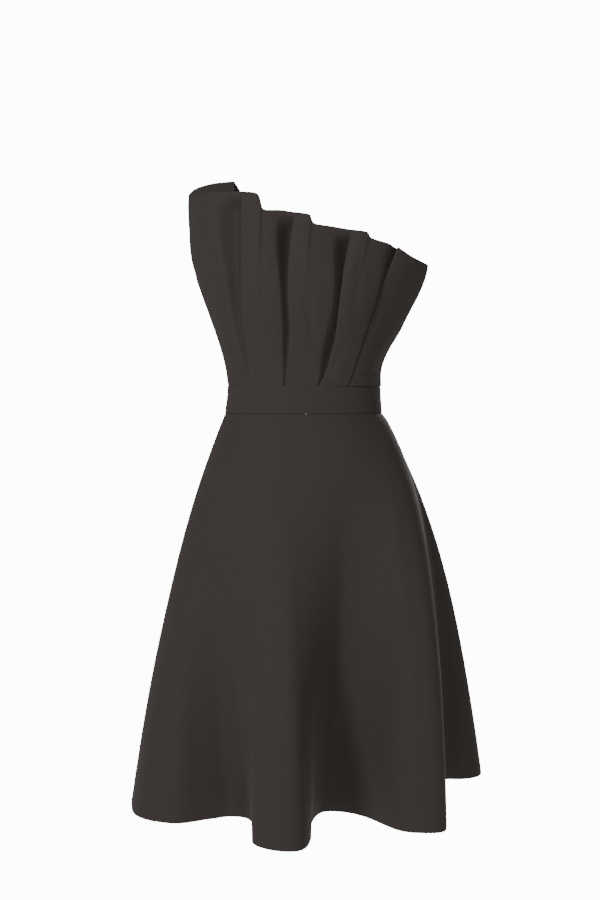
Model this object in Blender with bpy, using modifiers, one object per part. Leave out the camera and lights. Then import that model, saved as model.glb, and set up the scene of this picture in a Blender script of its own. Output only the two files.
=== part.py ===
"""One-shoulder dress: a pleated bodice, a waistband and a flared skirt with a back zip.

Metres, +Z up. The front faces -Y and the wearer's left side is at +X. The origin
is the middle of the waist opening, level with the seam of bodice and waistband.
Every cloth piece is an open sheet, given its thickness by a Solidify modifier.
"""

from collections import namedtuple
from math import cos, hypot, pi, sin

import bpy
import bmesh
from mathutils import Matrix, Vector

# Cloth and seams
WALL = 0.0020
BAND_WALL = 0.0030
SEAM = 0.0003
HALF_SEAM = SEAM / 2
UPRIGHT = 0.0030

# Heights above the waist seam
BAND_BOTTOM = -0.0430
HEM = -0.6790
UNDERARM_RIGHT = 0.150
UNDERARM_LEFT = 0.165
BACK_NECK = 0.240

# Roundness of the plan curves: 2 is an ellipse, more is squarer
ROUNDNESS = 2.4

# Zip, in the middle of the back
ZIP_TOP = 0.236
ZIP_BOTTOM = -0.200
ZIP_WIDTH = 0.0060
ZIP_WALL = 0.0016
SLIDER_HEIGHT = 0.224
SLIDER_SIZE = (0.0076, 0.0026, 0.0120)
SLIDER_STAND_OFF = 0.0009
BRIDGE_WIDTH = 0.0020
BRIDGE_HEIGHT = 0.0036
BRIDGE_LENGTH = 0.0064
PIVOT_HEIGHT = 0.0018
PIVOT_HOLE = 0.0013
PULL_SIZE = (0.0064, 0.0012, 0.0220)
PULL_WINDOW = (0.0034, 0.0046)
PULL_BAR = 0.0013

# Half widths and half depths of the bodice at each height. The wing is the folded
# edge that stands out past the side seam; edge is its distance in front of the seam.
Level = namedtuple("Level", "z left seam wing edge front back")
LEVELS = (
    Level(0.000, 0.1245, 0.1245, 0.1255, 0.016, 0.0945, 0.0880),
    Level(0.030, 0.1285, 0.1255, 0.1268, 0.017, 0.0955, 0.0885),
    Level(0.060, 0.1365, 0.1330, 0.1390, 0.019, 0.0990, 0.0920),
    Level(0.090, 0.1450, 0.1400, 0.1570, 0.027, 0.1060, 0.0970),
    Level(0.120, 0.1555, 0.1465, 0.1715, 0.035, 0.1130, 0.1010),
    Level(0.150, 0.1670, 0.1520, 0.1860, 0.042, 0.1180, 0.1040),
    Level(0.180, 0.1775, 0.1570, 0.1965, 0.048, 0.1200, 0.1050),
    Level(0.210, 0.1848, 0.1600, 0.2000, 0.050, 0.1195, 0.1045),
    Level(0.240, 0.1870, 0.1620, 0.2010, 0.050, 0.1165, 0.1010),
    Level(0.270, 0.1855, 0.1630, 0.2010, 0.050, 0.1110, 0.0900),
    Level(0.290, 0.1890, 0.1635, 0.2010, 0.050, 0.1060, 0.0800),
    Level(0.310, 0.1885, 0.1640, 0.2010, 0.050, 0.1000, 0.0700),
)

# One table for each of the four pleats, left to right: at a height, where its
# sharp lip runs, how far left of the lip its soft side starts, and how deep it is.
Pleat = namedtuple("Pleat", "z lip width depth")
PLEATS = (
    (
        Pleat(0.000, -0.0845, 0.0060, 0.0025),
        Pleat(0.050, -0.0905, 0.0095, 0.0055),
        Pleat(0.110, -0.0990, 0.0165, 0.0100),
        Pleat(0.170, -0.0985, 0.0275, 0.0160),
        Pleat(0.250, -0.0980, 0.0430, 0.0230),
        Pleat(0.310, -0.0980, 0.0450, 0.0220),
    ),
    (
        Pleat(0.000, -0.0290, 0.0056, 0.0025),
        Pleat(0.080, -0.0240, 0.0110, 0.0100),
        Pleat(0.140, -0.0260, 0.0115, 0.0120),
        Pleat(0.170, -0.0260, 0.0145, 0.0160),
        Pleat(0.220, -0.0225, 0.0225, 0.0240),
        Pleat(0.270, -0.0150, 0.0290, 0.0270),
    ),
    (
        Pleat(0.000, 0.0240, 0.0050, 0.0025),
        Pleat(0.020, 0.0330, 0.0100, 0.0080),
        Pleat(0.043, 0.0400, 0.0160, 0.0125),
        Pleat(0.084, 0.0490, 0.0160, 0.0135),
        Pleat(0.120, 0.0530, 0.0110, 0.0110),
        Pleat(0.160, 0.0580, 0.0125, 0.0140),
        Pleat(0.200, 0.0640, 0.0200, 0.0220),
        Pleat(0.245, 0.0745, 0.0290, 0.0260),
    ),
    (
        Pleat(0.000, 0.0726, 0.0050, 0.0020),
        Pleat(0.040, 0.0860, 0.0052, 0.0030),
        Pleat(0.085, 0.1006, 0.0056, 0.0038),
        Pleat(0.120, 0.1120, 0.0062, 0.0048),
        Pleat(0.170, 0.1270, 0.0080, 0.0080),
        Pleat(0.200, 0.1390, 0.0165, 0.0180),
        Pleat(0.225, 0.1500, 0.0190, 0.0210),
    ),
)

# Stations across one pleat: share of the width left of the lip, share of the depth
# to the right of the lip (the undercut), share of the depth, and a fixed shift.
Station = namedtuple("Station", "left under depth shift")
STATIONS = (
    Station(1.00, 0.00, 0.00, 0.0000),
    Station(0.80, 0.00, 0.14, 0.0000),
    Station(0.50, 0.00, 0.62, 0.0000),
    Station(0.22, 0.00, 0.94, 0.0000),
    Station(0.00, 0.16, 1.00, 0.0000),
    Station(0.00, 0.00, 0.12, 0.0000),
    Station(0.00, 0.00, 0.00, 0.0042),
)

# Top edge of the bodice front, with a step down in the middle of each raised panel
Edge = namedtuple("Edge", "x z")
TOP_EDGE = (
    Edge(-0.1860, 0.3045),
    Edge(-0.1045, 0.3036),
    Edge(-0.0726, 0.2998),
    Edge(-0.0690, 0.2960),
    Edge(-0.0650, 0.2716),
    Edge(-0.0364, 0.2718),
    Edge(0.0105, 0.2644),
    Edge(0.0145, 0.2500),
    Edge(0.0997, 0.2380),
    Edge(0.1037, 0.2290),
    Edge(0.1467, 0.2166),
    Edge(0.1990, 0.1925),
)
STEPS = (-0.0670, 0.0125, 0.1017)

# The first three pleats lie closed at the top edge and open below it
CLOSED_PLEATS = (0, 1, 2)
CLOSED_DEPTH = 0.12
CLOSED_HEIGHT = 0.030
STEP_HALF = 0.0010
PROUD = 0.0032
PANEL_SWELL = 0.0020

# Columns of the armhole side: share of the way to the first pleat, and top
Side = namedtuple("Side", "share top")
ARMHOLE_SIDE = (
    Side(0.00, UNDERARM_RIGHT),
    Side(0.07, 0.2300),
    Side(0.14, 0.2980),
    Side(0.22, 0.3045),
    Side(0.42, 0.3045),
    Side(0.63, 0.3045),
    Side(0.83, 0.3045),
)
WING_TOPS = (0.1940, 0.1920, 0.1900, 0.1835, 0.1745, UNDERARM_LEFT)
WING_FOLD = 0.0026

# Rows of the back's right half, up the back, over the shoulder and down in front:
# height and depth at the inner end, both ends across, plan half width, and the drop
# of the outer end.
Loft = namedtuple("Loft", "z y inner outer half drop")
SHOULDER = (
    Loft(0.185, 0.1050, 0.0033, 0.1665, 0.174, 0.000),
    Loft(0.215, 0.1040, 0.0033, 0.1690, 0.186, 0.000),
    Loft(0.240, 0.1010, 0.0033, 0.1730, 0.200, 0.000),
    Loft(0.262, 0.0930, 0.0340, 0.1780, 0.215, 0.001),
    Loft(0.286, 0.0780, 0.0660, 0.1840, 0.232, 0.004),
    Loft(0.308, 0.0550, 0.0920, 0.1890, 0.262, 0.010),
    Loft(0.326, 0.0300, 0.1080, 0.1910, 0.300, 0.018),
    Loft(0.336, 0.0000, 0.1140, 0.1900, 0.400, 0.027),
    Loft(0.3285, -0.0260, 0.1130, 0.1790, 0.400, 0.022),
    Loft(0.3080, -0.0430, 0.1120, 0.1660, 0.300, 0.006),
)
STRAP_SEATS = (0.290, 0.272)
STRAP_CLEARANCE = 0.0012
STRAP_INSET = 1.03
BACK_ROWS = (HALF_SEAM, 0.030, 0.060, 0.090, 0.120, 0.150)

# Waistband and the top of the skirt: half width left and right, half depth in
# front and behind
Ring = namedtuple("Ring", "z left right front back")
BAND = (
    Ring(-HALF_SEAM, 0.1252, 0.1252, 0.0953, 0.0888),
    Ring(-HALF_SEAM - UPRIGHT, 0.1252, 0.1252, 0.0953, 0.0888),
    Ring(-0.0215, 0.1262, 0.1262, 0.0966, 0.0899),
    Ring(BAND_BOTTOM + HALF_SEAM + UPRIGHT, 0.1294, 0.1280, 0.0988, 0.0922),
    Ring(BAND_BOTTOM + HALF_SEAM, 0.1294, 0.1280, 0.0988, 0.0922),
)
SKIRT_TOP = Ring(BAND_BOTTOM - HALF_SEAM, 0.1290, 0.1275, 0.0982, 0.0916)
SMOOTH_HEM = Ring(HEM, 0.2830, 0.3250, 0.1900, 0.2250)

# The hem seen from above, round the dress from the right side seam: the points
# that its flutes and valleys pass through
Fold = namedtuple("Fold", "x y")
HEM_FRONT = (
    Fold(-0.2830, -0.0300),
    Fold(-0.2720, -0.0890),
    Fold(-0.2450, -0.1220),
    Fold(-0.1980, -0.1380),
    Fold(-0.1500, -0.1190),
    Fold(-0.1150, -0.1060),
    Fold(-0.0870, -0.1200),
    Fold(-0.0780, -0.1700),
    Fold(-0.0760, -0.2280),
    Fold(-0.0400, -0.2560),
    Fold(-0.0040, -0.2530),
    Fold(0.0100, -0.2100),
    Fold(0.0120, -0.1400),
    Fold(0.0280, -0.0880),
    Fold(0.0600, -0.0840),
    Fold(0.0950, -0.1070),
    Fold(0.1440, -0.1690),
    Fold(0.1850, -0.1810),
    Fold(0.2140, -0.1730),
    Fold(0.2190, -0.1350),
    Fold(0.2070, -0.0750),
    Fold(0.2050, -0.0200),
    Fold(0.2110, 0.0180),
)
HEM_BACK_LEFT = (
    Fold(0.2110, 0.0180),
    Fold(0.2220, 0.0600),
    Fold(0.2440, 0.0860),
    Fold(0.2780, 0.0880),
    Fold(0.3080, 0.1080),
    Fold(0.3150, 0.1550),
    Fold(0.2980, 0.2080),
    Fold(0.2550, 0.2300),
    Fold(0.2100, 0.2080),
    Fold(0.1750, 0.2180),
    Fold(0.1400, 0.2550),
    Fold(0.1000, 0.2700),
    Fold(0.0620, 0.2500),
    Fold(0.0320, 0.2180),
    Fold(0.0000, 0.2120),
)
HEM_BACK_RIGHT = (
    Fold(0.0000, 0.2120),
    Fold(-0.0320, 0.2260),
    Fold(-0.0650, 0.2560),
    Fold(-0.1050, 0.2640),
    Fold(-0.1400, 0.2380),
    Fold(-0.1650, 0.1980),
    Fold(-0.2050, 0.1820),
    Fold(-0.2450, 0.1900),
    Fold(-0.2800, 0.1620),
    Fold(-0.2920, 0.1060),
    Fold(-0.2850, 0.0400),
    Fold(-0.2830, -0.0300),
)
SKIRT_ROWS = (0.0, 0.05, 0.11, 0.18, 0.2465, 0.2560, 0.33, 0.41, 0.50, 0.59, 0.68, 0.77, 0.85, 0.93, 1.0)

# How the skirt widens on its way down: the flare leads on the wearer's left, where
# the flutes start higher too
FLARE_BEND = 1.16
FLARE_LEAN = 1.60
FLUTES_START = 0.16
FLUTES_EARLIER = 0.45
FLUTES_POWER = 1.30
FLUTES_QUICKER = 1.10

BODICE_ROWS = (0.0, 0.06, 0.13, 0.21, 0.30, 0.39, 0.48, 0.57, 0.66, 0.75, 0.83, 0.90, 0.95, 0.98, 1.0)

FRONT_COLUMNS = 56
BACK_COLUMNS = 34
BODICE_BACK_COLUMNS = 13

CLOTH_COLOUR = (0.0300, 0.0242, 0.0222, 1.0)
METAL_COLOUR = (0.050, 0.048, 0.047, 1.0)


def mix(a, b, share):
    return a + (b - a) * share


def ease(low, high, value):
    share = min(max((value - low) / (high - low), 0.0), 1.0)
    return share * share * (3.0 - 2.0 * share)


def follow(rows, at, name):
    """Read one column of a table at any place, on a smooth curve through its rows."""
    keys = [row[0] for row in rows]
    values = [getattr(row, name) for row in rows]
    if at <= keys[0]:
        return values[0]
    if at >= keys[-1]:
        return values[-1]
    i = max(k for k in range(len(keys) - 1) if keys[k] <= at)

    def slope(k):
        low = max(k - 1, 0)
        high = min(k + 1, len(keys) - 1)
        return (values[high] - values[low]) / (keys[high] - keys[low])

    span = keys[i + 1] - keys[i]
    t = (at - keys[i]) / span
    start = (1 + 2 * t) * (1 - t) ** 2 * values[i] + t * (1 - t) ** 2 * span * slope(i)
    end = t * t * (3 - 2 * t) * values[i + 1] - t * t * (1 - t) * span * slope(i + 1)
    return start + end


def top_edge(x):
    """Height of the bodice front's top edge, which is straight between its corners."""
    for low, high in zip(TOP_EDGE, TOP_EDGE[1:]):
        if x <= high.x:
            share = min(max((x - low.x) / (high.x - low.x), 0.0), 1.0)
            return mix(low.z, high.z, share)
    return TOP_EDGE[-1].z


def plan_depth(x, half_width, half_depth):
    """Depth at x of a rounded plan curve of the given half width and half depth."""
    share = min(abs(x) / half_width, 1.0)
    return half_depth * (1.0 - share ** ROUNDNESS) ** (1.0 / ROUNDNESS)


def front_depth(x, z):
    """How far the bodice front stands in front of the side seams, without pleats."""
    front = follow(LEVELS, z, "front")
    if x < 0.0:
        return plan_depth(x, follow(LEVELS, z, "left"), front)
    edge = follow(LEVELS, z, "edge")
    share = min(x / follow(LEVELS, z, "wing"), 1.0)
    flatness = mix(ROUNDNESS, 1.3, ease(0.03, 0.12, z))
    return edge + (front - edge) * (1.0 - share ** ROUNDNESS) ** (1.0 / flatness)


def pleat_station(index, station, z, top):
    """Place of one station of a pleat: across, and forward."""
    rows = PLEATS[index]
    lip = follow(rows, z, "lip")
    width = follow(rows, z, "width")
    depth = follow(rows, z, "depth")
    if index in CLOSED_PLEATS:
        depth *= mix(CLOSED_DEPTH, 1.0, ease(0.003, CLOSED_HEIGHT, top - z))
    x = lip - station.left * width + station.under * depth + station.shift
    return x, front_depth(x, z) - station.depth * depth


def panel_point(index, share, z, proud):
    """Place on the raised panel to the right of a pleat, proud of it by a fold's thickness."""
    left = follow(PLEATS[index], z, "lip") + STATIONS[-1].shift
    right = follow(PLEATS[index + 1], z, "lip") - follow(PLEATS[index + 1], z, "width")
    x = mix(left, right, share)
    lift = PANEL_SWELL * sin(pi * share) * ease(0.0, 0.12, z)
    lift += proud * PROUD * ease(0.06, 0.20, z)
    return x, front_depth(x, z) + lift


def wing_points(z):
    """The folded edge on the right: last point in front, tip, first point behind, seam."""
    wing = follow(LEVELS, z, "wing")
    edge = follow(LEVELS, z, "edge")
    folded = ease(0.04, 0.12, z)
    inset = 0.0012 * folded
    first = mix(edge + WING_FOLD, edge, folded)
    return (
        (wing - inset, first),
        (wing, first - WING_FOLD),
        (wing - inset, first - 2 * WING_FOLD),
        (follow(LEVELS, z, "seam"), HALF_SEAM),
    )


def front_columns():
    """The bodice front's columns, left to right: a height and a place for each."""
    columns = []

    def left_column(share):
        def place(z, top):
            start = pleat_station(0, STATIONS[0], z, top)[0]
            half = follow(LEVELS, z, "left")
            reach = (abs(start) / half) ** (ROUNDNESS / 2)
            # Angle at the first pleat's start, found from its cosine
            angle = share * Vector((reach, (1.0 - reach * reach) ** 0.5)).angle(Vector((1.0, 0.0)))
            x = -half * cos(angle) ** (2 / ROUNDNESS)
            depth = follow(LEVELS, z, "front") * sin(angle) ** (2 / ROUNDNESS)
            return x, max(depth, HALF_SEAM)
        return place

    for side in ARMHOLE_SIDE:
        columns.append((side.top, left_column(side.share)))

    for index in range(len(PLEATS)):
        reference = top_edge(PLEATS[index][-1].lip)
        for station in STATIONS:
            def place(z, top, index=index, station=station):
                return pleat_station(index, station, z, top)
            x = pleat_station(index, station, reference, reference)[0]
            columns.append((top_edge(x), place))
        if index == len(PLEATS) - 1:
            break
        left = follow(PLEATS[index], reference, "lip") + STATIONS[-1].shift
        after = PLEATS[index + 1]
        right = follow(after, reference, "lip") - follow(after, reference, "width")
        step = (STEPS[index] - left) / (right - left)
        half = STEP_HALF / (right - left)
        near = 4.0 * half
        for share, proud in (
            (step * 0.5, 1.0), (step - near, 1.0), (step - half, 1.0),
            (step + half, 0.0), (step + near, 0.0), (mix(step, 1.0, 0.5), 0.0),
        ):
            def place(z, top, index=index, share=share, proud=proud):
                return panel_point(index, share, z, proud)
            columns.append((top_edge(mix(left, right, share)), place))

    def wing_column(share):
        def place(z, top):
            left = follow(PLEATS[-1], z, "lip") + STATIONS[-1].shift
            x = mix(left, wing_points(z)[0][0], share)
            return x, mix(front_depth(x, z), wing_points(z)[0][1], ease(0.7, 1.0, share))
        return place

    for share in (0.30, 0.62):
        columns.append((top_edge(mix(0.154, 0.199, share)), wing_column(share)))

    def fold_column(index, share):
        def place(z, top):
            points = wing_points(z)
            if index < 2:
                return points[index]
            return tuple(mix(points[2][k], points[3][k], share) for k in range(2))
        return place

    folds = ((0, 0.0), (1, 0.0), (2, 0.0), (2, 0.33), (2, 0.67), (2, 1.0))
    for top, (index, share) in zip(WING_TOPS, folds):
        columns.append((top, fold_column(index, share)))
    return columns


def ring_curve(ring, side, count=40):
    """Plan points of a ring's part: front, back left or back right, anticlockwise."""
    starts = {"front": (pi, 2 * pi), "back_left": (0.0, pi / 2), "back_right": (pi / 2, pi)}
    start, end = starts[side]
    points = []
    for i in range(count + 1):
        angle = mix(start, end, i / count)
        across, forward = cos(angle), sin(angle)
        half = ring.right if across > 0 else ring.left
        deep = ring.back if forward > 0 else ring.front
        x = half * abs(across) ** (2 / ROUNDNESS) * (1 if across > 0 else -1)
        y = deep * abs(forward) ** (2 / ROUNDNESS) * (1 if forward > 0 else -1)
        points.append((x, y))
    return points


def smooth_curve(points, steps=10):
    """Points of a smooth curve through the given ones."""
    padded = [points[0], *points, points[-1]]
    curve = []
    for a, b, c, d in zip(padded, padded[1:], padded[2:], padded[3:]):
        for i in range(steps):
            t = i / steps
            curve.append(tuple(
                0.5 * (2 * b[k] + (c[k] - a[k]) * t
                       + (2 * a[k] - 5 * b[k] + 4 * c[k] - d[k]) * t * t
                       + (3 * b[k] - a[k] - 3 * c[k] + d[k]) * t ** 3)
                for k in range(2)))
    curve.append(tuple(points[-1][:2]))
    return curve


def spaced(curve, shares):
    """Points of a curve at the given shares of its length."""
    lengths = [0.0]
    for a, b in zip(curve, curve[1:]):
        lengths.append(lengths[-1] + hypot(b[0] - a[0], b[1] - a[1]))
    found = []
    i = 0
    for share in shares:
        goal = share * lengths[-1]
        while i < len(curve) - 2 and lengths[i + 1] < goal:
            i += 1
        part = (goal - lengths[i]) / (lengths[i + 1] - lengths[i])
        found.append((mix(curve[i][0], curve[i + 1][0], part), mix(curve[i][1], curve[i + 1][1], part)))
    return found


HEMS = {"front": HEM_FRONT, "back_left": HEM_BACK_LEFT, "back_right": HEM_BACK_RIGHT}


def skirt_points(side, count):
    """Rows of points of a skirt panel, hem first."""
    shares = [i / (count - 1) for i in range(count)]
    waist = spaced(ring_curve(SKIRT_TOP, side), shares)
    smooth = spaced(ring_curve(SMOOTH_HEM, side), shares)
    fluted = spaced(smooth_curve(HEMS[side]), shares)
    rows = []
    for t in reversed(SKIRT_ROWS):
        row = []
        for top, low, wave in zip(waist, smooth, fluted):
            bend = FLARE_BEND + FLARE_LEAN * low[0]
            grow = (1.0 + bend) * t / (1.0 + bend * t)
            to_left = max(low[0], 0.0)
            start = FLUTES_START - FLUTES_EARLIER * to_left
            flutes = (max(t - start, 0.0) / (1.0 - start)) ** (FLUTES_POWER - FLUTES_QUICKER * to_left)
            x = mix(top[0], low[0], grow) + (wave[0] - low[0]) * flutes
            y = mix(top[1], low[1], grow) + (wave[1] - low[1]) * flutes
            row.append(Vector((x, y, mix(SKIRT_TOP.z, HEM, t))))
        rows.append(row)
    return rows


def part_seams(rows, side):
    """Draw a panel's side edges back from the seams and from the zip."""
    for row in rows:
        for edge, inner in ((0, 1), (-1, -2)):
            away = row[inner] - row[edge]
            row[edge] += away * (HALF_SEAM / away.length)
    if side == "front":
        return rows
    middle = -1 if side == "back_left" else 0
    sign = 1 if side == "back_left" else -1
    for row in rows:
        beside_zip = row[middle].z > ZIP_BOTTOM - 0.001
        row[middle].x = sign * (ZIP_WIDTH / 2 + SEAM if beside_zip else HALF_SEAM)
    return rows


def material(name, colour, roughness, metallic):
    made = bpy.data.materials.new(name)
    made.use_nodes = True
    shader = made.node_tree.nodes["Principled BSDF"]
    shader.inputs["Base Color"].default_value = colour
    shader.inputs["Roughness"].default_value = roughness
    shader.inputs["Metallic"].default_value = metallic
    return made


def add_object(name, mesh, finish, collection, holder):
    obj = bpy.data.objects.new(name, mesh)
    mesh.materials.append(finish)
    mesh.shade_smooth()
    collection.objects.link(obj)
    obj.parent = holder
    return obj


def add_sheet(name, rows, wall, finish, collection, holder):
    """A cloth piece: a grid moved to rows of points, lowest row first, then thickened inwards."""
    count_x = len(rows[0])
    count_y = len(rows)
    bm = bmesh.new()
    bmesh.ops.create_grid(bm, x_segments=count_x - 1, y_segments=count_y - 1, size=0.5)
    for vert in bm.verts:
        column = round((vert.co.x + 0.5) * (count_x - 1))
        row = round((vert.co.y + 0.5) * (count_y - 1))
        vert.co = rows[row][column]
    mesh = bpy.data.meshes.new(name)
    bm.to_mesh(mesh)
    bm.free()
    obj = add_object(name, mesh, finish, collection, holder)
    thickness = obj.modifiers.new("Thickness", "SOLIDIFY")
    thickness.thickness = wall
    thickness.offset = -1.0
    thickness.use_even_offset = True
    return obj


def bodice_front_rows():
    columns = front_columns()
    rows = []
    for share in BODICE_ROWS:
        row = []
        for top, place in columns:
            z = mix(HALF_SEAM, top, share)
            x, depth = place(z, top)
            row.append(Vector((x, -depth, z)))
        rows.append(row)
    # The lowest strip is upright, so that its thickness stays level with the seam
    lifted = [Vector((point.x, point.y, point.z + UPRIGHT)) for point in rows[0]]
    return [rows[0], lifted, *rows[1:]]


def bodice_back_right_rows():
    """Rows up the back's right half, over the shoulder, and down behind the front."""
    lofts = [
        Loft(z, follow(LEVELS, z, "back"), ZIP_WIDTH / 2 + SEAM, follow(LEVELS, z, "left"),
             follow(LEVELS, z, "left"), 0.0)
        for z in BACK_ROWS
    ]
    lofts += SHOULDER
    rows = []
    for loft in lofts:
        row = []
        for i in range(BODICE_BACK_COLUMNS):
            share = i / (BODICE_BACK_COLUMNS - 1)
            across = sin(share * pi / 2) ** (2 / ROUNDNESS)
            x = mix(loft.inner, loft.outer, across)
            y = max(plan_depth(x, loft.half, abs(loft.y)), HALF_SEAM if loft.z < 0.16 else 0.0)
            y = -y if loft.y < 0 else y
            row.append(Vector((-x, y, loft.z - loft.drop * share ** 1.5)))
        rows.append(row)
    last = rows[-1]
    for z in STRAP_SEATS:
        row = []
        for point in last:
            x = point.x
            depth = seat_depth(x * STRAP_INSET, z) - WALL - STRAP_CLEARANCE
            row.append(Vector((x, -depth, z)))
        rows.append(row)
    return rows


def seat_depth(x, z):
    """Depth of the front's first pleat and the panel left of it, at x."""
    rows = PLEATS[0]
    lip = follow(rows, z, "lip")
    width = follow(rows, z, "width")
    share = min(max(1.4 * (x - lip + width) / width, 0.0), 1.0)
    return front_depth(x, z) - share * follow(rows, z, "depth")


def bodice_back_left_rows():
    rows = []
    for share_up in BODICE_ROWS:
        row = []
        for i in range(BODICE_BACK_COLUMNS):
            share = 1.0 - i / (BODICE_BACK_COLUMNS - 1)
            across = sin(share * pi / 2) ** (2 / ROUNDNESS)
            top = mix(BACK_NECK, UNDERARM_LEFT, across)
            z = mix(HALF_SEAM, top, share_up)
            half = follow(LEVELS, z, "seam")
            x = mix(ZIP_WIDTH / 2 + SEAM, half, across)
            y = max(plan_depth(x, half, follow(LEVELS, z, "back")), HALF_SEAM)
            row.append(Vector((x, y, z)))
        rows.append(row)
    return rows


def band_rows(side, count):
    shares = [i / (count - 1) for i in range(count)]
    rows = []
    for ring in reversed(BAND):
        row = [Vector((x, y, ring.z)) for x, y in spaced(ring_curve(ring, side), shares)]
        rows.append(row)
    return part_seams(rows, side)


def zip_rows():
    """The zip's strip: flush with the back, from the neck to below the hip seam."""
    middle = [row[-1] for row in skirt_points("back_left", BACK_COLUMNS)]
    profile = [(point.z, point.y) for point in middle if point.z > ZIP_BOTTOM - 0.001]
    profile += [(ring.z, ring.back) for ring in reversed(BAND)]
    heights = [z for z in BACK_ROWS] + [0.185, 0.215, ZIP_TOP]
    profile += [(z, follow(LEVELS, z, "back")) for z in heights]
    half = ZIP_WIDTH / 2
    return [[Vector((half, y, z)), Vector((0.0, y, z)), Vector((-half, y, z))] for z, y in profile]


def add_box(bm, size, centre):
    made = bmesh.ops.create_cube(bm, size=1.0)
    bmesh.ops.scale(bm, vec=size, verts=made["verts"])
    bmesh.ops.translate(bm, vec=centre, verts=made["verts"])


def box_mesh(name, size, centre):
    bm = bmesh.new()
    add_box(bm, size, centre)
    mesh = bpy.data.meshes.new(name)
    bm.to_mesh(mesh)
    bm.free()
    return mesh


def cylinder_mesh(name, radius, length, centre):
    bm = bmesh.new()
    turn = Matrix.Rotation(pi / 2, 4, "Y")
    bmesh.ops.create_cone(bm, cap_ends=True, segments=20, radius1=radius, radius2=radius,
                          depth=length, matrix=Matrix.Translation(centre) @ turn)
    mesh = bpy.data.meshes.new(name)
    bm.to_mesh(mesh)
    bm.free()
    return mesh


def add_cutter(name, mesh, place, cutters):
    obj = bpy.data.objects.new(name, mesh)
    obj.location = place
    obj.hide_render = True
    obj.display_type = "WIRE"
    cutters.objects.link(obj)
    return obj


def combine(obj, operation, other):
    step = obj.modifiers.new(operation.title(), "BOOLEAN")
    step.operation = operation
    step.object = other


def slider_pivot():
    """The pull's axis: under the slider's bridge, off the middle of the back."""
    y = follow(LEVELS, SLIDER_HEIGHT - SLIDER_SIZE[2] / 2, "back") + SLIDER_STAND_OFF
    return Vector((0.0, y + SLIDER_SIZE[1] + PIVOT_HEIGHT, SLIDER_HEIGHT))


def add_slider(finish, collection, cutters, holder):
    """The slider: a body with a bridge over the hole that the pull's bar turns in."""
    pivot = slider_pivot()
    body_centre = Vector((0.0, -PIVOT_HEIGHT - SLIDER_SIZE[1] / 2, 0.0))
    bridge_depth = BRIDGE_HEIGHT + SLIDER_SIZE[1] / 2
    bridge_centre = Vector((0.0, BRIDGE_HEIGHT - PIVOT_HEIGHT - bridge_depth / 2, 0.0))
    slider = add_object("zip_slider", box_mesh("zip_slider", SLIDER_SIZE, body_centre),
                        finish, collection, holder)
    slider.location = pivot
    bridge_size = (BRIDGE_WIDTH, bridge_depth, BRIDGE_LENGTH)
    bridge = add_cutter("slider_bridge", box_mesh("slider_bridge", bridge_size, bridge_centre), pivot, cutters)
    hole_mesh = cylinder_mesh("slider_hole", PIVOT_HOLE, 3 * BRIDGE_WIDTH, Vector((0.0, 0.0, 0.0)))
    hole = add_cutter("slider_hole", hole_mesh, pivot, cutters)
    combine(slider, "UNION", bridge)
    combine(slider, "DIFFERENCE", hole)
    slider.data.shade_flat()
    return slider


def add_pull(finish, collection, cutters, holder):
    """The pull tab: a plate whose window leaves a bar that passes under the bridge."""
    pivot = slider_pivot()
    centre = Vector((0.0, 0.0, PULL_BAR / 2 - PULL_SIZE[2] / 2))
    pull = add_object("zip_pull", box_mesh("zip_pull", PULL_SIZE, centre), finish, collection, holder)
    pull.location = pivot
    window_size = (PULL_WINDOW[0], 3 * PULL_SIZE[1], PULL_WINDOW[1])
    window_centre = Vector((0.0, 0.0, -PULL_BAR / 2 - PULL_WINDOW[1] / 2))
    window = add_cutter("pull_window", box_mesh("pull_window", window_size, window_centre), pivot, cutters)
    combine(pull, "DIFFERENCE", window)
    pull.data.shade_flat()
    return pull


def main():
    for obj in list(bpy.data.objects):
        bpy.data.objects.remove(obj, do_unlink=True)

    parts = bpy.data.collections.new("one_shoulder_dress")
    cutters = bpy.data.collections.new("cutters")
    bpy.context.scene.collection.children.link(parts)
    bpy.context.scene.collection.children.link(cutters)
    holder = bpy.data.objects.new("dress_origin", None)
    parts.objects.link(holder)

    cloths = {
        name: material(name, CLOTH_COLOUR, 0.85, 0.0)
        for name in ("bodice_cloth", "waistband_cloth", "skirt_cloth")
    }
    zip_tape = material("zip_tape", CLOTH_COLOUR, 0.75, 0.0)
    zip_metal = material("zip_metal", METAL_COLOUR, 0.40, 0.8)

    bodice = cloths["bodice_cloth"]
    add_sheet("bodice_front", bodice_front_rows(), WALL, bodice, parts, holder)
    add_sheet("bodice_back_right", bodice_back_right_rows(), WALL, bodice, parts, holder)
    add_sheet("bodice_back_left", bodice_back_left_rows(), WALL, bodice, parts, holder)

    for side, columns in (("front", 29), ("back_left", 15), ("back_right", 15)):
        add_sheet("waistband_" + side, band_rows(side, columns), BAND_WALL,
                  cloths["waistband_cloth"], parts, holder)

    for side, columns in (("front", FRONT_COLUMNS), ("back_left", BACK_COLUMNS), ("back_right", BACK_COLUMNS)):
        rows = part_seams(skirt_points(side, columns), side)
        add_sheet("skirt_" + side, rows, WALL, cloths["skirt_cloth"], parts, holder)

    add_sheet("zip_chain", zip_rows(), ZIP_WALL, zip_tape, parts, holder)
    add_slider(zip_metal, parts, cutters, holder)
    add_pull(zip_metal, parts, cutters, holder)


main()
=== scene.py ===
"""Looks of the one-shoulder dress: thick smooth cloth, pressed pleats, flutes and a zip.

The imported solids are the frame. Each cloth solid is replaced by a finer shell of the
same cut, worked out here from the same sizes, in metres, with the front facing -Y.
"""

from collections import namedtuple
from math import cos, hypot, pi, radians, sin

import bpy
import bmesh
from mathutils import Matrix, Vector, noise


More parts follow.
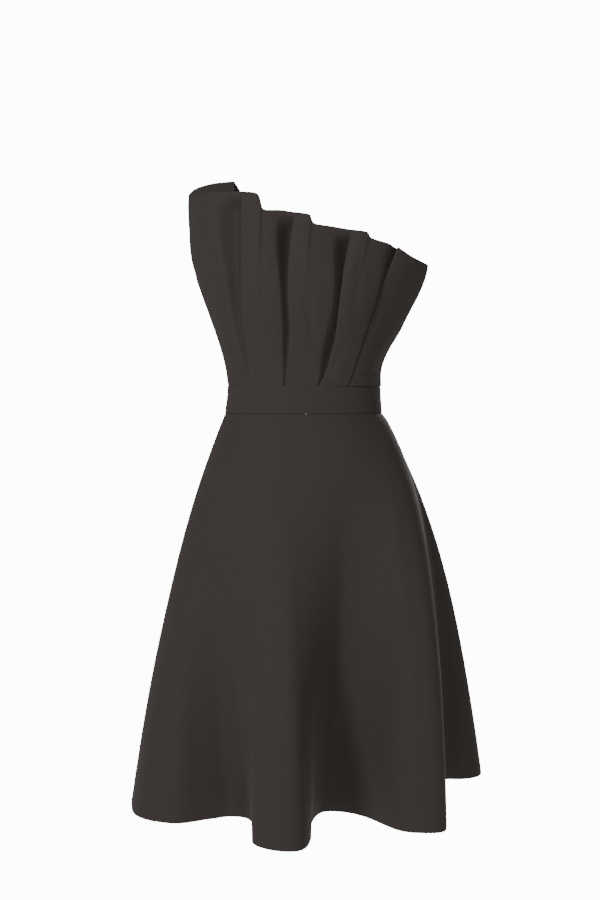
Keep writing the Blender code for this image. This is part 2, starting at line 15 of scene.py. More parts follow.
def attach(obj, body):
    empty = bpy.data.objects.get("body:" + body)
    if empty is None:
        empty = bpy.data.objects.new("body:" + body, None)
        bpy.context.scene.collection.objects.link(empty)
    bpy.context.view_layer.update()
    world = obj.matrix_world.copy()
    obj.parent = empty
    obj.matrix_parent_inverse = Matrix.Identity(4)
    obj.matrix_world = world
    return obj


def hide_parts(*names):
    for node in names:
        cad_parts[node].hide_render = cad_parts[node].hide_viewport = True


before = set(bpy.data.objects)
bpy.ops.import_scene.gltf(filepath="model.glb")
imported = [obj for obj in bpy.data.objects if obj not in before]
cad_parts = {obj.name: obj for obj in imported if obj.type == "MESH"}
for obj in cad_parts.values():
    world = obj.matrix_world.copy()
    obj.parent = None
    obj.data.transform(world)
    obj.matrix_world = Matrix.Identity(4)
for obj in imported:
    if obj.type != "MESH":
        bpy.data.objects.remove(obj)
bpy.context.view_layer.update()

BODY = "dress"
PULL_BODY = "pull"

# Cloth and seams
WALL = 0.0020
BAND_WALL = 0.0030
SEAM = 0.0003
# Seams sewn shut: how far the waistband's edges reach, the half gap left at the centre
# back, and how much of a cut edge is drawn into that seam
SEAM_MEET = 0.00028
CENTRE_MEET = 0.00002
CENTRE_REACH = 0.0008
HALF_SEAM = SEAM / 2
UPRIGHT = 0.0030

# Heights above the waist seam
BAND_BOTTOM = -0.0430
HEM = -0.6790
FLOOR = -1.05
UNDERARM_RIGHT = 0.150
UNDERARM_LEFT = 0.165
BACK_NECK = 0.240

# Roundness of the plan curves: 2 is an ellipse, more is squarer
ROUNDNESS = 2.4

# Zip, in the middle of the back
ZIP_TOP = 0.236
ZIP_BOTTOM = -0.200
ZIP_WIDTH = 0.0060
ZIP_WALL = 0.0016

# Half widths and half depths of the bodice at each height. The wing is the folded
# edge that stands out past the side seam; edge is its distance in front of the seam.
Level = namedtuple("Level", "z left seam wing edge front back")
LEVELS = (
    Level(0.000, 0.1245, 0.1245, 0.1255, 0.016, 0.0945, 0.0880),
    Level(0.030, 0.1285, 0.1255, 0.1268, 0.017, 0.0955, 0.0885),
    Level(0.060, 0.1365, 0.1330, 0.1390, 0.019, 0.0990, 0.0920),
    Level(0.090, 0.1450, 0.1400, 0.1570, 0.027, 0.1060, 0.0970),
    Level(0.120, 0.1555, 0.1465, 0.1715, 0.035, 0.1130, 0.1010),
    Level(0.150, 0.1670, 0.1520, 0.1860, 0.042, 0.1180, 0.1040),
    Level(0.180, 0.1775, 0.1570, 0.1965, 0.048, 0.1200, 0.1050),
    Level(0.210, 0.1848, 0.1600, 0.2000, 0.050, 0.1195, 0.1045),
    Level(0.240, 0.1870, 0.1620, 0.2010, 0.050, 0.1165, 0.1010),
    Level(0.270, 0.1855, 0.1630, 0.2010, 0.050, 0.1110, 0.0900),
    Level(0.290, 0.1890, 0.1635, 0.2010, 0.050, 0.1060, 0.0800),
    Level(0.310, 0.1885, 0.1640, 0.2010, 0.050, 0.1000, 0.0700),
)

# One table for each of the four pleats, left to right: at a height, where its
# sharp lip runs, how far left of the lip its soft side starts, and how deep it is.
Pleat = namedtuple("Pleat", "z lip width depth")
PLEATS = (
    (
        Pleat(0.000, -0.0845, 0.0060, 0.0025),
        Pleat(0.050, -0.0905, 0.0095, 0.0055),
        Pleat(0.110, -0.0990, 0.0165, 0.0100),
        Pleat(0.170, -0.0985, 0.0275, 0.0160),
        Pleat(0.250, -0.0980, 0.0430, 0.0230),
        Pleat(0.310, -0.0980, 0.0450, 0.0220),
    ),
    (
        Pleat(0.000, -0.0290, 0.0056, 0.0025),
        Pleat(0.080, -0.0240, 0.0110, 0.0100),
        Pleat(0.140, -0.0260, 0.0115, 0.0120),
        Pleat(0.170, -0.0260, 0.0145, 0.0160),
        Pleat(0.220, -0.0225, 0.0225, 0.0240),
        Pleat(0.270, -0.0150, 0.0290, 0.0270),
    ),
    (
        Pleat(0.000, 0.0240, 0.0050, 0.0025),
        Pleat(0.020, 0.0330, 0.0100, 0.0080),
        Pleat(0.043, 0.0400, 0.0160, 0.0125),
        Pleat(0.084, 0.0490, 0.0160, 0.0135),
        Pleat(0.120, 0.0530, 0.0110, 0.0110),
        Pleat(0.160, 0.0580, 0.0125, 0.0140),
        Pleat(0.200, 0.0640, 0.0200, 0.0220),
        Pleat(0.245, 0.0745, 0.0290, 0.0260),
    ),
    (
        Pleat(0.000, 0.0726, 0.0050, 0.0020),
        Pleat(0.040, 0.0860, 0.0052, 0.0030),
        Pleat(0.085, 0.1006, 0.0056, 0.0038),
        Pleat(0.120, 0.1120, 0.0062, 0.0048),
        Pleat(0.170, 0.1270, 0.0080, 0.0080),
        Pleat(0.200, 0.1390, 0.0165, 0.0180),
        Pleat(0.225, 0.1500, 0.0190, 0.0210),
    ),
)

# Stations across one pleat: share of the width left of the lip, share of the depth
# to the right of the lip (the undercut), share of the depth, and a fixed shift.
Station = namedtuple("Station", "left under depth shift")
STATIONS = (
    Station(1.00, 0.00, 0.00, 0.0000),
    Station(0.80, 0.00, 0.14, 0.0000),
    Station(0.50, 0.00, 0.62, 0.0000),
    Station(0.22, 0.00, 0.94, 0.0000),
    Station(0.00, 0.16, 1.00, 0.0000),
    Station(0.00, 0.00, 0.12, 0.0000),
    Station(0.00, 0.00, 0.00, 0.0042),
)

# Top edge of the bodice front, with a step down in the middle of each raised panel
Edge = namedtuple("Edge", "x z")
TOP_EDGE = (
    Edge(-0.1860, 0.3045),
    Edge(-0.1045, 0.3036),
    Edge(-0.0726, 0.2998),
    Edge(-0.0690, 0.2960),
    Edge(-0.0650, 0.2716),
    Edge(-0.0364, 0.2718),
    Edge(0.0105, 0.2644),
    Edge(0.0145, 0.2500),
    Edge(0.0997, 0.2380),
    Edge(0.1037, 0.2290),
    Edge(0.1467, 0.2166),
    Edge(0.1990, 0.1925),
)
STEPS = (-0.0670, 0.0125, 0.1017)

# The first three pleats lie closed at the top edge and open below it
CLOSED_PLEATS = (0, 1, 2)
CLOSED_DEPTH = 0.12
CLOSED_HEIGHT = 0.030
STEP_HALF = 0.0010
PROUD = 0.0026
PANEL_SWELL = 0.0020

# Columns of the armhole side: share of the way to the first pleat, and top
Side = namedtuple("Side", "share top")
ARMHOLE_SIDE = (
    Side(0.00, UNDERARM_RIGHT),
    Side(0.07, 0.2300),
    Side(0.14, 0.2980),
    Side(0.22, 0.3045),
    Side(0.42, 0.3045),
    Side(0.63, 0.3045),
    Side(0.83, 0.3045),
)
WING_TOPS = (0.1940, 0.1920, 0.1900, 0.1835, 0.1745, UNDERARM_LEFT)
WING_FOLD = 0.0026

# Rows of the back's right half, up the back, over the shoulder and down in front:
# height and depth at the inner end, both ends across, plan half width, and the drop
# of the outer end.
Loft = namedtuple("Loft", "z y inner outer half drop")
SHOULDER = (
    Loft(0.185, 0.1050, 0.0033, 0.1665, 0.174, 0.000),
    Loft(0.215, 0.1040, 0.0033, 0.1690, 0.186, 0.000),
    Loft(0.240, 0.1010, 0.0033, 0.1730, 0.200, 0.000),
    Loft(0.262, 0.0930, 0.0340, 0.1780, 0.215, 0.001),
    Loft(0.286, 0.0780, 0.0660, 0.1840, 0.232, 0.004),
    Loft(0.308, 0.0550, 0.0920, 0.1890, 0.262, 0.010),
    Loft(0.326, 0.0300, 0.1080, 0.1910, 0.300, 0.018),
    Loft(0.336, 0.0000, 0.1140, 0.1900, 0.400, 0.027),
    Loft(0.3285, -0.0260, 0.1130, 0.1790, 0.400, 0.022),
    Loft(0.3080, -0.0430, 0.1120, 0.1660, 0.300, 0.006),
)
STRAP_SEATS = (0.290, 0.272)
STRAP_CLEARANCE = 0.0012
STRAP_INSET = 1.03
BACK_ROWS = (HALF_SEAM, 0.030, 0.060, 0.090, 0.120, 0.150)

# Waistband and the top of the skirt: half width left and right, half depth in
# front and behind
Ring = namedtuple("Ring", "z left right front back")
BAND = (
    Ring(-HALF_SEAM, 0.1252, 0.1252, 0.0953, 0.0888),
    Ring(-HALF_SEAM - UPRIGHT, 0.1252, 0.1252, 0.0953, 0.0888),
    Ring(-0.0215, 0.1262, 0.1262, 0.0966, 0.0899),
    Ring(BAND_BOTTOM + HALF_SEAM + UPRIGHT, 0.1294, 0.1280, 0.0988, 0.0922),
    Ring(BAND_BOTTOM + HALF_SEAM, 0.1294, 0.1280, 0.0988, 0.0922),
)
SKIRT_TOP = Ring(BAND_BOTTOM - HALF_SEAM, 0.1290, 0.1275, 0.0982, 0.0916)
SMOOTH_HEM = Ring(HEM, 0.2830, 0.3250, 0.1900, 0.2250)

# The hem seen from above, round the dress from the right side seam: the points
# that its flutes and valleys pass through
Fold = namedtuple("Fold", "x y")
HEM_FRONT = (
    Fold(-0.2830, -0.0300),
    Fold(-0.2720, -0.0890),
    Fold(-0.2450, -0.1220),
    Fold(-0.1980, -0.1380),
    Fold(-0.1500, -0.1190),
    Fold(-0.1150, -0.1060),
    Fold(-0.0870, -0.1200),
    Fold(-0.0780, -0.1700),
    Fold(-0.0760, -0.2280),
    Fold(-0.0400, -0.2560),
    Fold(-0.0040, -0.2530),
    Fold(0.0100, -0.2100),
    Fold(0.0120, -0.1400),
    Fold(0.0280, -0.0880),
    Fold(0.0600, -0.0840),
    Fold(0.0950, -0.1070),
    Fold(0.1440, -0.1690),
    Fold(0.1850, -0.1810),
    Fold(0.2140, -0.1730),
    Fold(0.2190, -0.1350),
    Fold(0.2070, -0.0750),
    Fold(0.2050, -0.0200),
    Fold(0.2110, 0.0180),
)
HEM_BACK_LEFT = (
    Fold(0.2110, 0.0180),
    Fold(0.2220, 0.0600),
    Fold(0.2440, 0.0860),
    Fold(0.2780, 0.0880),
    Fold(0.3080, 0.1080),
    Fold(0.3150, 0.1550),
    Fold(0.2980, 0.2080),
    Fold(0.2550, 0.2300),
    Fold(0.2100, 0.2080),
    Fold(0.1750, 0.2180),
    Fold(0.1400, 0.2550),
    Fold(0.1000, 0.2700),
    Fold(0.0620, 0.2500),
    Fold(0.0320, 0.2180),
    Fold(0.0000, 0.2120),
)
HEM_BACK_RIGHT = (
    Fold(0.0000, 0.2120),
    Fold(-0.0320, 0.2260),
    Fold(-0.0650, 0.2560),
    Fold(-0.1050, 0.2640),
    Fold(-0.1400, 0.2380),
    Fold(-0.1650, 0.1980),
    Fold(-0.2050, 0.1820),
    Fold(-0.2450, 0.1900),
    Fold(-0.2800, 0.1620),
    Fold(-0.2920, 0.1060),
    Fold(-0.2850, 0.0400),
    Fold(-0.2830, -0.0300),
)

# How the skirt widens on its way down: the flare leads on the wearer's left, where
# the flutes start higher too
FLARE_BEND = 1.16
FLARE_LEAN = 1.60
FLUTES_START = 0.16
FLUTES_EARLIER = 0.45
FLUTES_POWER = 1.30
FLUTES_QUICKER = 1.10

# How finely each panel is made
BODICE_ROWS = tuple(i / 34 for i in range(34)) + (0.985, 1.0)
BODICE_BACK_COLUMNS = 25
SKIRT_ROWS = 120
SKIRT_COLUMNS = {"front": 230, "back_left": 140, "back_right": 140}


# Soft creases: the ends of each, across and up, its half width and its depth inwards.
# Face is -1 on the front and 1 on the back.
Crease = namedtuple("Crease", "face x0 z0 x1 z1 spread depth")
BODICE_CREASES = (
    Crease(-1, -0.176, 0.186, -0.134, 0.160, 0.0110, 0.0022),
    Crease(-1, -0.166, 0.128, -0.128, 0.118, 0.0090, 0.0014),
    Crease(-1, -0.118, 0.060, -0.098, 0.014, 0.0080, 0.0016),
    Crease(-1, -0.070, 0.205, -0.058, 0.120, 0.0100, 0.0014),
    Crease(-1, -0.066, 0.088, -0.050, 0.022, 0.0080, 0.0010),
    Crease(-1, -0.016, 0.018, 0.018, 0.015, 0.0050, 0.0012),
    Crease(-1, 0.004, 0.140, 0.014, 0.060, 0.0110, 0.0012),
    Crease(-1, 0.040, 0.020, 0.066, 0.070, 0.0080, 0.0013),
    Crease(-1, 0.086, 0.205, 0.080, 0.110, 0.0100, 0.0016),
    Crease(-1, 0.092, 0.014, 0.118, 0.022, 0.0060, 0.0012),
    Crease(-1, 0.110, 0.050, 0.146, 0.118, 0.0090, 0.0014),
    Crease(-1, 0.172, 0.176, 0.150, 0.110, 0.0110, 0.0018),
    Crease(1, -0.150, 0.165, -0.096, 0.150, 0.0110, 0.0020),
    Crease(1, -0.132, 0.100, -0.080, 0.112, 0.0100, 0.0016),
    Crease(1, -0.070, 0.020, -0.052, 0.075, 0.0080, 0.0015),
    Crease(1, -0.030, 0.014, -0.014, 0.050, 0.0070, 0.0013),
    Crease(1, -0.050, 0.235, -0.110, 0.285, 0.0120, 0.0020),
    Crease(1, 0.138, 0.140, 0.088, 0.120, 0.0100, 0.0018),
    Crease(1, 0.040, 0.014, 0.055, 0.065, 0.0080, 0.0015),
    Crease(1, 0.090, 0.020, 0.104, 0.070, 0.0080, 0.0014),
)
CREASE_WANDER = 0.0040

# Puckers where the cloth is gathered into a seam: their pitch, depth and reach
PUCKER_PITCH = 0.0110
PUCKER_DEPTH = 0.0005
PUCKER_REACH = 0.0160

# Stitches and teeth
STITCH_PITCH = 0.0032
STITCH_LENGTH = 0.0024
STITCH_THICKNESS = 0.00042
STITCH_FROM_ZIP = 0.0085
TOOTH_PITCH = 0.0014
TOOTH_SIZE = (0.0021, 0.0007, 0.0008)
TOOTH_SWAY = 0.0006

# Colours, as linear values
CLOTH_DARK = (0.0250, 0.0200, 0.0184, 1.0)
CLOTH_LIGHT = (0.0350, 0.0282, 0.0260, 1.0)
TAPE_DARK = (0.0200, 0.0164, 0.0152, 1.0)
TAPE_LIGHT = (0.0290, 0.0240, 0.0224, 1.0)
THREAD_COLOUR = (0.0420, 0.0340, 0.0314, 1.0)
METAL_DARK = (0.0420, 0.0400, 0.0390, 1.0)
METAL_LIGHT = (0.1600, 0.1550, 0.1500, 1.0)
FLOOR_COLOUR = (0.93, 0.93, 0.93, 1.0)


def mix(a, b, share):
    return a + (b - a) * share


def ease(low, high, value):
    share = min(max((value - low) / (high - low), 0.0), 1.0)
    return share * share * (3.0 - 2.0 * share)


def follow(rows, at, name):
    """Read one column of a table at any place, on a smooth curve through its rows."""
    keys = [row[0] for row in rows]
    values = [getattr(row, name) for row in rows]
    if at <= keys[0]:
        return values[0]
    if at >= keys[-1]:
        return values[-1]
    i = max(k for k in range(len(keys) - 1) if keys[k] <= at)

    def slope(k):
        low = max(k - 1, 0)
        high = min(k + 1, len(keys) - 1)
        return (values[high] - values[low]) / (keys[high] - keys[low])

    span = keys[i + 1] - keys[i]
    t = (at - keys[i]) / span
    start = (1 + 2 * t) * (1 - t) ** 2 * values[i] + t * (1 - t) ** 2 * span * slope(i)
    end = t * t * (3 - 2 * t) * values[i + 1] - t * t * (1 - t) * span * slope(i + 1)
    return start + end


def top_edge(x):
    """Height of the bodice front's top edge, which is straight between its corners."""
    for low, high in zip(TOP_EDGE, TOP_EDGE[1:]):
        if x <= high.x:
            share = min(max((x - low.x) / (high.x - low.x), 0.0), 1.0)
            return mix(low.z, high.z, share)
    return TOP_EDGE[-1].z


def plan_depth(x, half_width, half_depth):
    """Depth at x of a rounded plan curve of the given half width and half depth."""
    share = min(abs(x) / half_width, 1.0)
    return half_depth * (1.0 - share ** ROUNDNESS) ** (1.0 / ROUNDNESS)


def front_depth(x, z):
    """How far the bodice front stands in front of the side seams, without pleats."""
    front = follow(LEVELS, z, "front")
    if x < 0.0:
        return plan_depth(x, follow(LEVELS, z, "left"), front)
    edge = follow(LEVELS, z, "edge")
    share = min(x / follow(LEVELS, z, "wing"), 1.0)
    flatness = mix(ROUNDNESS, 1.3, ease(0.03, 0.12, z))
    return edge + (front - edge) * (1.0 - share ** ROUNDNESS) ** (1.0 / flatness)


def pleat_station(index, station, z, top):
    """Place of one station of a pleat: across, and forward."""
    rows = PLEATS[index]
    lip = follow(rows, z, "lip")
    width = follow(rows, z, "width")
    depth = follow(rows, z, "depth")
    if index in CLOSED_PLEATS:
        depth *= mix(CLOSED_DEPTH, 1.0, ease(0.003, CLOSED_HEIGHT, top - z))
    x = lip - station.left * width + station.under * depth + station.shift
    return x, front_depth(x, z) - station.depth * depth


def panel_point(index, share, z, proud):
    """Place on the raised panel to the right of a pleat, proud of it by a fold's thickness."""
    left = follow(PLEATS[index], z, "lip") + STATIONS[-1].shift
    right = follow(PLEATS[index + 1], z, "lip") - follow(PLEATS[index + 1], z, "width")
    x = mix(left, right, share)
    lift = PANEL_SWELL * sin(pi * share) * ease(0.0, 0.12, z)
    lift += proud * PROUD * ease(0.13, 0.25, z)
    return x, front_depth(x, z) + lift


def wing_points(z):
    """The folded edge on the right: last point in front, tip, first point behind, seam."""
    wing = follow(LEVELS, z, "wing")
    edge = follow(LEVELS, z, "edge")
    folded = ease(0.04, 0.12, z)
    inset = 0.0012 * folded
    first = mix(edge + WING_FOLD, edge, folded)
    return (
        (wing - inset, first),
        (wing, first - WING_FOLD),
        (wing - inset, first - 2 * WING_FOLD),
        (follow(LEVELS, z, "seam"), HALF_SEAM),
    )


def front_columns():
    """The bodice front's columns, left to right: a height and a place for each."""
    columns = []

    def left_column(share):
        def place(z, top):
            start = pleat_station(0, STATIONS[0], z, top)[0]
            half = follow(LEVELS, z, "left")
            reach = (abs(start) / half) ** (ROUNDNESS / 2)
            # Angle at the first pleat's start, found from its cosine
            angle = share * Vector((reach, (1.0 - reach * reach) ** 0.5)).angle(Vector((1.0, 0.0)))
            x = -half * cos(angle) ** (2 / ROUNDNESS)
            depth = follow(LEVELS, z, "front") * sin(angle) ** (2 / ROUNDNESS)
            return x, max(depth, HALF_SEAM)
        return place

    for side in ARMHOLE_SIDE:
        columns.append((side.top, left_column(side.share)))

    for index in range(len(PLEATS)):
        reference = top_edge(PLEATS[index][-1].lip)
        for station in STATIONS:
            def place(z, top, index=index, station=station):
                return pleat_station(index, station, z, top)
            x = pleat_station(index, station, reference, reference)[0]
            columns.append((top_edge(x), place))
        if index == len(PLEATS) - 1:
            break
        left = follow(PLEATS[index], reference, "lip") + STATIONS[-1].shift
        after = PLEATS[index + 1]
        right = follow(after, reference, "lip") - follow(after, reference, "width")
        step = (STEPS[index] - left) / (right - left)
        half = STEP_HALF / (right - left)
        near = 4.0 * half
        for share, proud in (
            (step * 0.5, 1.0), (step - near, 1.0), (step - half, 1.0),
            (step + half, 0.0), (step + near, 0.0), (mix(step, 1.0, 0.5), 0.0),
        ):
            def place(z, top, index=index, share=share, proud=proud):
                return panel_point(index, share, z, proud)
            columns.append((top_edge(mix(left, right, share)), place))

    def wing_column(share):
        def place(z, top):
            left = follow(PLEATS[-1], z, "lip") + STATIONS[-1].shift
            x = mix(left, wing_points(z)[0][0], share)
            return x, mix(front_depth(x, z), wing_points(z)[0][1], ease(0.7, 1.0, share))
        return place

    for share in (0.30, 0.62):
        columns.append((top_edge(mix(0.154, 0.199, share)), wing_column(share)))

    def fold_column(index, share):
        def place(z, top):
            points = wing_points(z)
            if index < 2:
                return points[index]
            return tuple(mix(points[2][k], points[3][k], share) for k in range(2))
        return place

    folds = ((0, 0.0), (1, 0.0), (2, 0.0), (2, 0.33), (2, 0.67), (2, 1.0))
    for top, (index, share) in zip(WING_TOPS, folds):
        columns.append((top, fold_column(index, share)))
    return columns


def ring_curve(ring, side, count=40):
    """Plan points of a ring's part: front, back left or back right, anticlockwise."""
    starts = {"front": (pi, 2 * pi), "back_left": (0.0, pi / 2), "back_right": (pi / 2, pi)}
    start, end = starts[side]
    points = []
    for i in range(count + 1):
        angle = mix(start, end, i / count)
        across, forward = cos(angle), sin(angle)
        half = ring.right if across > 0 else ring.left
        deep = ring.back if forward > 0 else ring.front
        x = half * abs(across) ** (2 / ROUNDNESS) * (1 if across > 0 else -1)
        y = deep * abs(forward) ** (2 / ROUNDNESS) * (1 if forward > 0 else -1)
        points.append((x, y))
    return points


def smooth_curve(points, steps=10):
    """Points of a smooth curve through the given ones."""
    padded = [points[0], *points, points[-1]]
    curve = []
    for a, b, c, d in zip(padded, padded[1:], padded[2:], padded[3:]):
        for i in range(steps):
            t = i / steps
            curve.append(tuple(
                0.5 * (2 * b[k] + (c[k] - a[k]) * t
                       + (2 * a[k] - 5 * b[k] + 4 * c[k] - d[k]) * t * t
                       + (3 * b[k] - a[k] - 3 * c[k] + d[k]) * t ** 3)
                for k in range(2)))
    curve.append(tuple(points[-1][:2]))
    return curve


def spaced(curve, shares):
    """Points of a curve at the given shares of its length."""
    lengths = [0.0]
    for a, b in zip(curve, curve[1:]):
        lengths.append(lengths[-1] + hypot(b[0] - a[0], b[1] - a[1]))
    found = []
    i = 0
    for share in shares:
        goal = share * lengths[-1]
        while i < len(curve) - 2 and lengths[i + 1] < goal:
            i += 1
        part = (goal - lengths[i]) / (lengths[i + 1] - lengths[i])
        found.append((mix(curve[i][0], curve[i + 1][0], part), mix(curve[i][1], curve[i + 1][1], part)))
    return found


HEMS = {"front": HEM_FRONT, "back_left": HEM_BACK_LEFT, "back_right": HEM_BACK_RIGHT}


class Wiring:
    """Adds nodes to a tree; an input is a number, a colour or another node's socket."""

    def __init__(self, tree):
        self.tree = tree

    def add(self, kind, inputs=None, **settings):
        node = self.tree.nodes.new(kind)
        for name, value in settings.items():
            setattr(node, name, value)
        for key, value in (inputs or {}).items():
            self.feed(node.inputs[key], value)
        return node

    def feed(self, socket, value):
        if isinstance(value, bpy.types.NodeSocket):
            self.tree.links.new(value, socket)
        else:
            socket.default_value = value

    def math(self, operation, first, second=0.0):
        return self.add("ShaderNodeMath", {0: first, 1: second}, operation=operation).outputs[0]

    def vector(self, operation, first, second):
        key = "Scale" if operation == "SCALE" else 1
        node = self.add("ShaderNodeVectorMath", {0: first, key: second}, operation=operation)
        return node.outputs["Vector"]

    def blend(self, share, low, high):
        """A colour between two others."""
        node = self.add("ShaderNodeMix", {0: share, 6: low, 7: high}, data_type="RGBA")
        return node.outputs[2]


def new_tree(name, kind, inputs, outputs):
    """A node group with named inputs (name, socket type, first value) and outputs."""
    tree = bpy.data.node_groups.new(name, kind)
    for label, socket_type, value in inputs:
        socket = tree.interface.new_socket(name=label, in_out="INPUT", socket_type=socket_type)
        if value is not None:
            socket.default_value = value
    for label, socket_type in outputs:
        tree.interface.new_socket(name=label, in_out="OUTPUT", socket_type=socket_type)
    wiring = Wiring(tree)
    return tree, wiring, wiring.add("NodeGroupInput").outputs, wiring.add("NodeGroupOutput")


def crepe_group():
    """Smooth thick cloth: a pebbled face, fine ribs of thread, faint uneven shade and lint."""
    tree, wiring, given, result = new_tree(
        "Crepe surface", "ShaderNodeTree",
        (
            ("Dark", "NodeSocketColor", CLOTH_DARK),
            ("Light", "NodeSocketColor", CLOTH_LIGHT),
            ("Pebble scale", "NodeSocketFloat", 1500.0),
            ("Thread scale", "NodeSocketFloat", 900.0),
            ("Roughness", "NodeSocketFloat", 0.82),
        ),
        (("Color", "NodeSocketColor"), ("Roughness", "NodeSocketFloat"), ("Height", "NodeSocketFloat")),
    )
    place = wiring.add("ShaderNodeTexCoord").outputs["Object"]
    pebble = wiring.add("ShaderNodeTexVoronoi", {
        "Vector": place, "Scale": given["Pebble scale"]}).outputs["Distance"]
    thread = wiring.add("ShaderNodeTexNoise", {
        "Vector": wiring.vector("MULTIPLY", place, (1.0, 1.0, 0.35)),
        "Scale": given["Thread scale"], "Detail": 2.0}).outputs["Fac"]
    cloud = wiring.add("ShaderNodeTexNoise", {"Vector": place, "Scale": 14.0, "Detail": 4.0}).outputs["Fac"]
    lint = wiring.add("ShaderNodeTexNoise", {"Vector": place, "Scale": 420.0, "Detail": 1.0}).outputs["Fac"]
    specks = wiring.math("GREATER_THAN", lint, 0.74)
    shade = wiring.math("ADD", wiring.math("MULTIPLY", cloud, 0.5), wiring.math("MULTIPLY", thread, 0.5))
    shade = wiring.math("ADD", shade, wiring.math("MULTIPLY", specks, 0.35))
    wiring.feed(result.inputs["Color"], wiring.blend(shade, given["Dark"], given["Light"]))
    uneven = wiring.math("MULTIPLY", wiring.math("SUBTRACT", cloud, 0.5), 0.12)
    wiring.feed(result.inputs["Roughness"], wiring.math("ADD", given["Roughness"], uneven))
    height = wiring.math("ADD", wiring.math("MULTIPLY", pebble, 0.6), wiring.math("MULTIPLY", thread, 0.5))
    wiring.feed(result.inputs["Height"], height)
    return tree


def metal_group():
    """Dark lacquered metal, rubbed paler where it is handled."""
    tree, wiring, given, result = new_tree(
        "Lacquered metal", "ShaderNodeTree",
        (
            ("Dark", "NodeSocketColor", METAL_DARK),
            ("Light", "NodeSocketColor", METAL_LIGHT),
            ("Roughness", "NodeSocketFloat", 0.32),
        ),
        (("Color", "NodeSocketColor"), ("Roughness", "NodeSocketFloat"), ("Height", "NodeSocketFloat")),
    )
    place = wiring.add("ShaderNodeTexCoord").outputs["Object"]
    rubs = wiring.add("ShaderNodeTexNoise", {"Vector": place, "Scale": 380.0, "Detail": 6.0}).outputs["Fac"]
    grain = wiring.add("ShaderNodeTexNoise", {"Vector": place, "Scale": 2600.0, "Detail": 2.0}).outputs["Fac"]
    share = wiring.add("ShaderNodeMapRange", {
        "Value": rubs, "From Min": 0.52, "From Max": 0.72}).outputs["Result"]
    wiring.feed(result.inputs["Color"], wiring.blend(share, given["Dark"], given["Light"]))
    uneven = wiring.math("MULTIPLY", grain, 0.15)
    wiring.feed(result.inputs["Roughness"], wiring.math("ADD", given["Roughness"], uneven))
    wiring.feed(result.inputs["Height"], grain)
    return tree


def finish_material(name, group, values, bump, distance, **shader_values):
    """A material whose colour, roughness and bump come from a surface group."""
    made = bpy.data.materials.new(name)
    made.use_nodes = True
    wiring = Wiring(made.node_tree)
    shader = made.node_tree.nodes["Principled BSDF"]
    surface = wiring.add("ShaderNodeGroup", node_tree=group)
    for key, value in values.items():
        surface.inputs[key].default_value = value
    relief = wiring.add("ShaderNodeBump", {
        "Height": surface.outputs["Height"], "Strength": bump, "Distance": distance})
    wiring.feed(shader.inputs["Base Color"], surface.outputs["Color"])
    wiring.feed(shader.inputs["Roughness"], surface.outputs["Roughness"])
    wiring.feed(shader.inputs["Normal"], relief.outputs["Normal"])
    for key, value in shader_values.items():
        shader.inputs[key.replace("_", " ")].default_value = value
    return made


def new_object(name, mesh):
    obj = bpy.data.objects.new(name, mesh)
    bpy.context.scene.collection.objects.link(obj)
    return obj


def settle(obj):
    """Turn an object with modifiers into a plain mesh."""
    graph = bpy.context.evaluated_depsgraph_get()
    mesh = bpy.data.meshes.new_from_object(obj.evaluated_get(graph))
    obj.modifiers.clear()
    old = obj.data
    obj.data = mesh
    bpy.data.meshes.remove(old)
    return obj


def smooth_sheet(name, rows, levels, lips=()):
    """An open sheet through rows of points, lowest first, smoothed; lips are crisper columns."""
    count_x = len(rows[0])
    count_y = len(rows)
    bm = bmesh.new()
    bmesh.ops.create_grid(bm, x_segments=count_x - 1, y_segments=count_y - 1, size=0.5)
    column_of = {}
    for vert in bm.verts:
        column = round((vert.co.x + 0.5) * (count_x - 1))
        row = round((vert.co.y + 0.5) * (count_y - 1))
        column_of[vert] = column
        vert.co = rows[row][column]
    crease = bm.edges.layers.float.new("crease_edge")
    for edge in bm.edges:
        ends = [column_of[vert] for vert in edge.verts]
        if ends[0] == ends[1] and ends[0] in lips:
            edge[crease] = LIP_CREASE
    mesh = bpy.data.meshes.new(name)
    bm.to_mesh(mesh)
    bm.free()
    obj = new_object(name, mesh)
    smoothing = obj.modifiers.new("Smoothing", "SUBSURF")
    smoothing.levels = levels
    smoothing.render_levels = levels
    smoothing.boundary_smooth = "PRESERVE_CORNERS"
    return settle(obj)


def distance_to_crease(crease, x, z):
    """Distance from a crease's line, and a fade that dies out at its two ends."""
    along = Vector((crease.x1 - crease.x0, crease.z1 - crease.z0))
    away = Vector((x - crease.x0, z - crease.z0))
    share = away.dot(along) / along.length_squared
    bend = CREASE_WANDER * sin(5.0 * share + 40.0 * crease.x0)
    side = abs(away.cross(along)) / along.length
    fade = ease(-0.25, 0.25, share) * (1.0 - ease(0.75, 1.25, share))
    return abs(side - abs(bend) * 0.5), fade


def press_creases(obj, face):
    """Push soft uneven troughs into a bodice panel, and fine puckers at its waist seam."""
    mesh = obj.data
    normals = [vert.normal.copy() for vert in mesh.vertices]
    for vert, normal in zip(mesh.vertices, normals):
        x, y, z = vert.co
        move = 0.0
        for crease in BODICE_CREASES:
            if crease.face != face:
                continue
            side, fade = distance_to_crease(crease, x, z)
            move -= crease.depth * fade * (1.0 - ease(0.0, crease.spread, side))
        slow = noise.noise(Vector((x * 16.0, y * 16.0, z * 9.0 + 3.0)))
        quick = noise.noise(Vector((x * 44.0, y * 44.0, z * 20.0 + 7.0)))
        move += 0.0011 * slow + 0.0005 * quick
        pucker = sin(2.0 * pi * x / PUCKER_PITCH + 3.0 * slow)
        move += PUCKER_DEPTH * pucker * (1.0 - ease(0.0, PUCKER_REACH, z))
        move *= ease(0.0, 0.006, z) * 0.85 + 0.15
        vert.co += normal * move
    mesh.update()


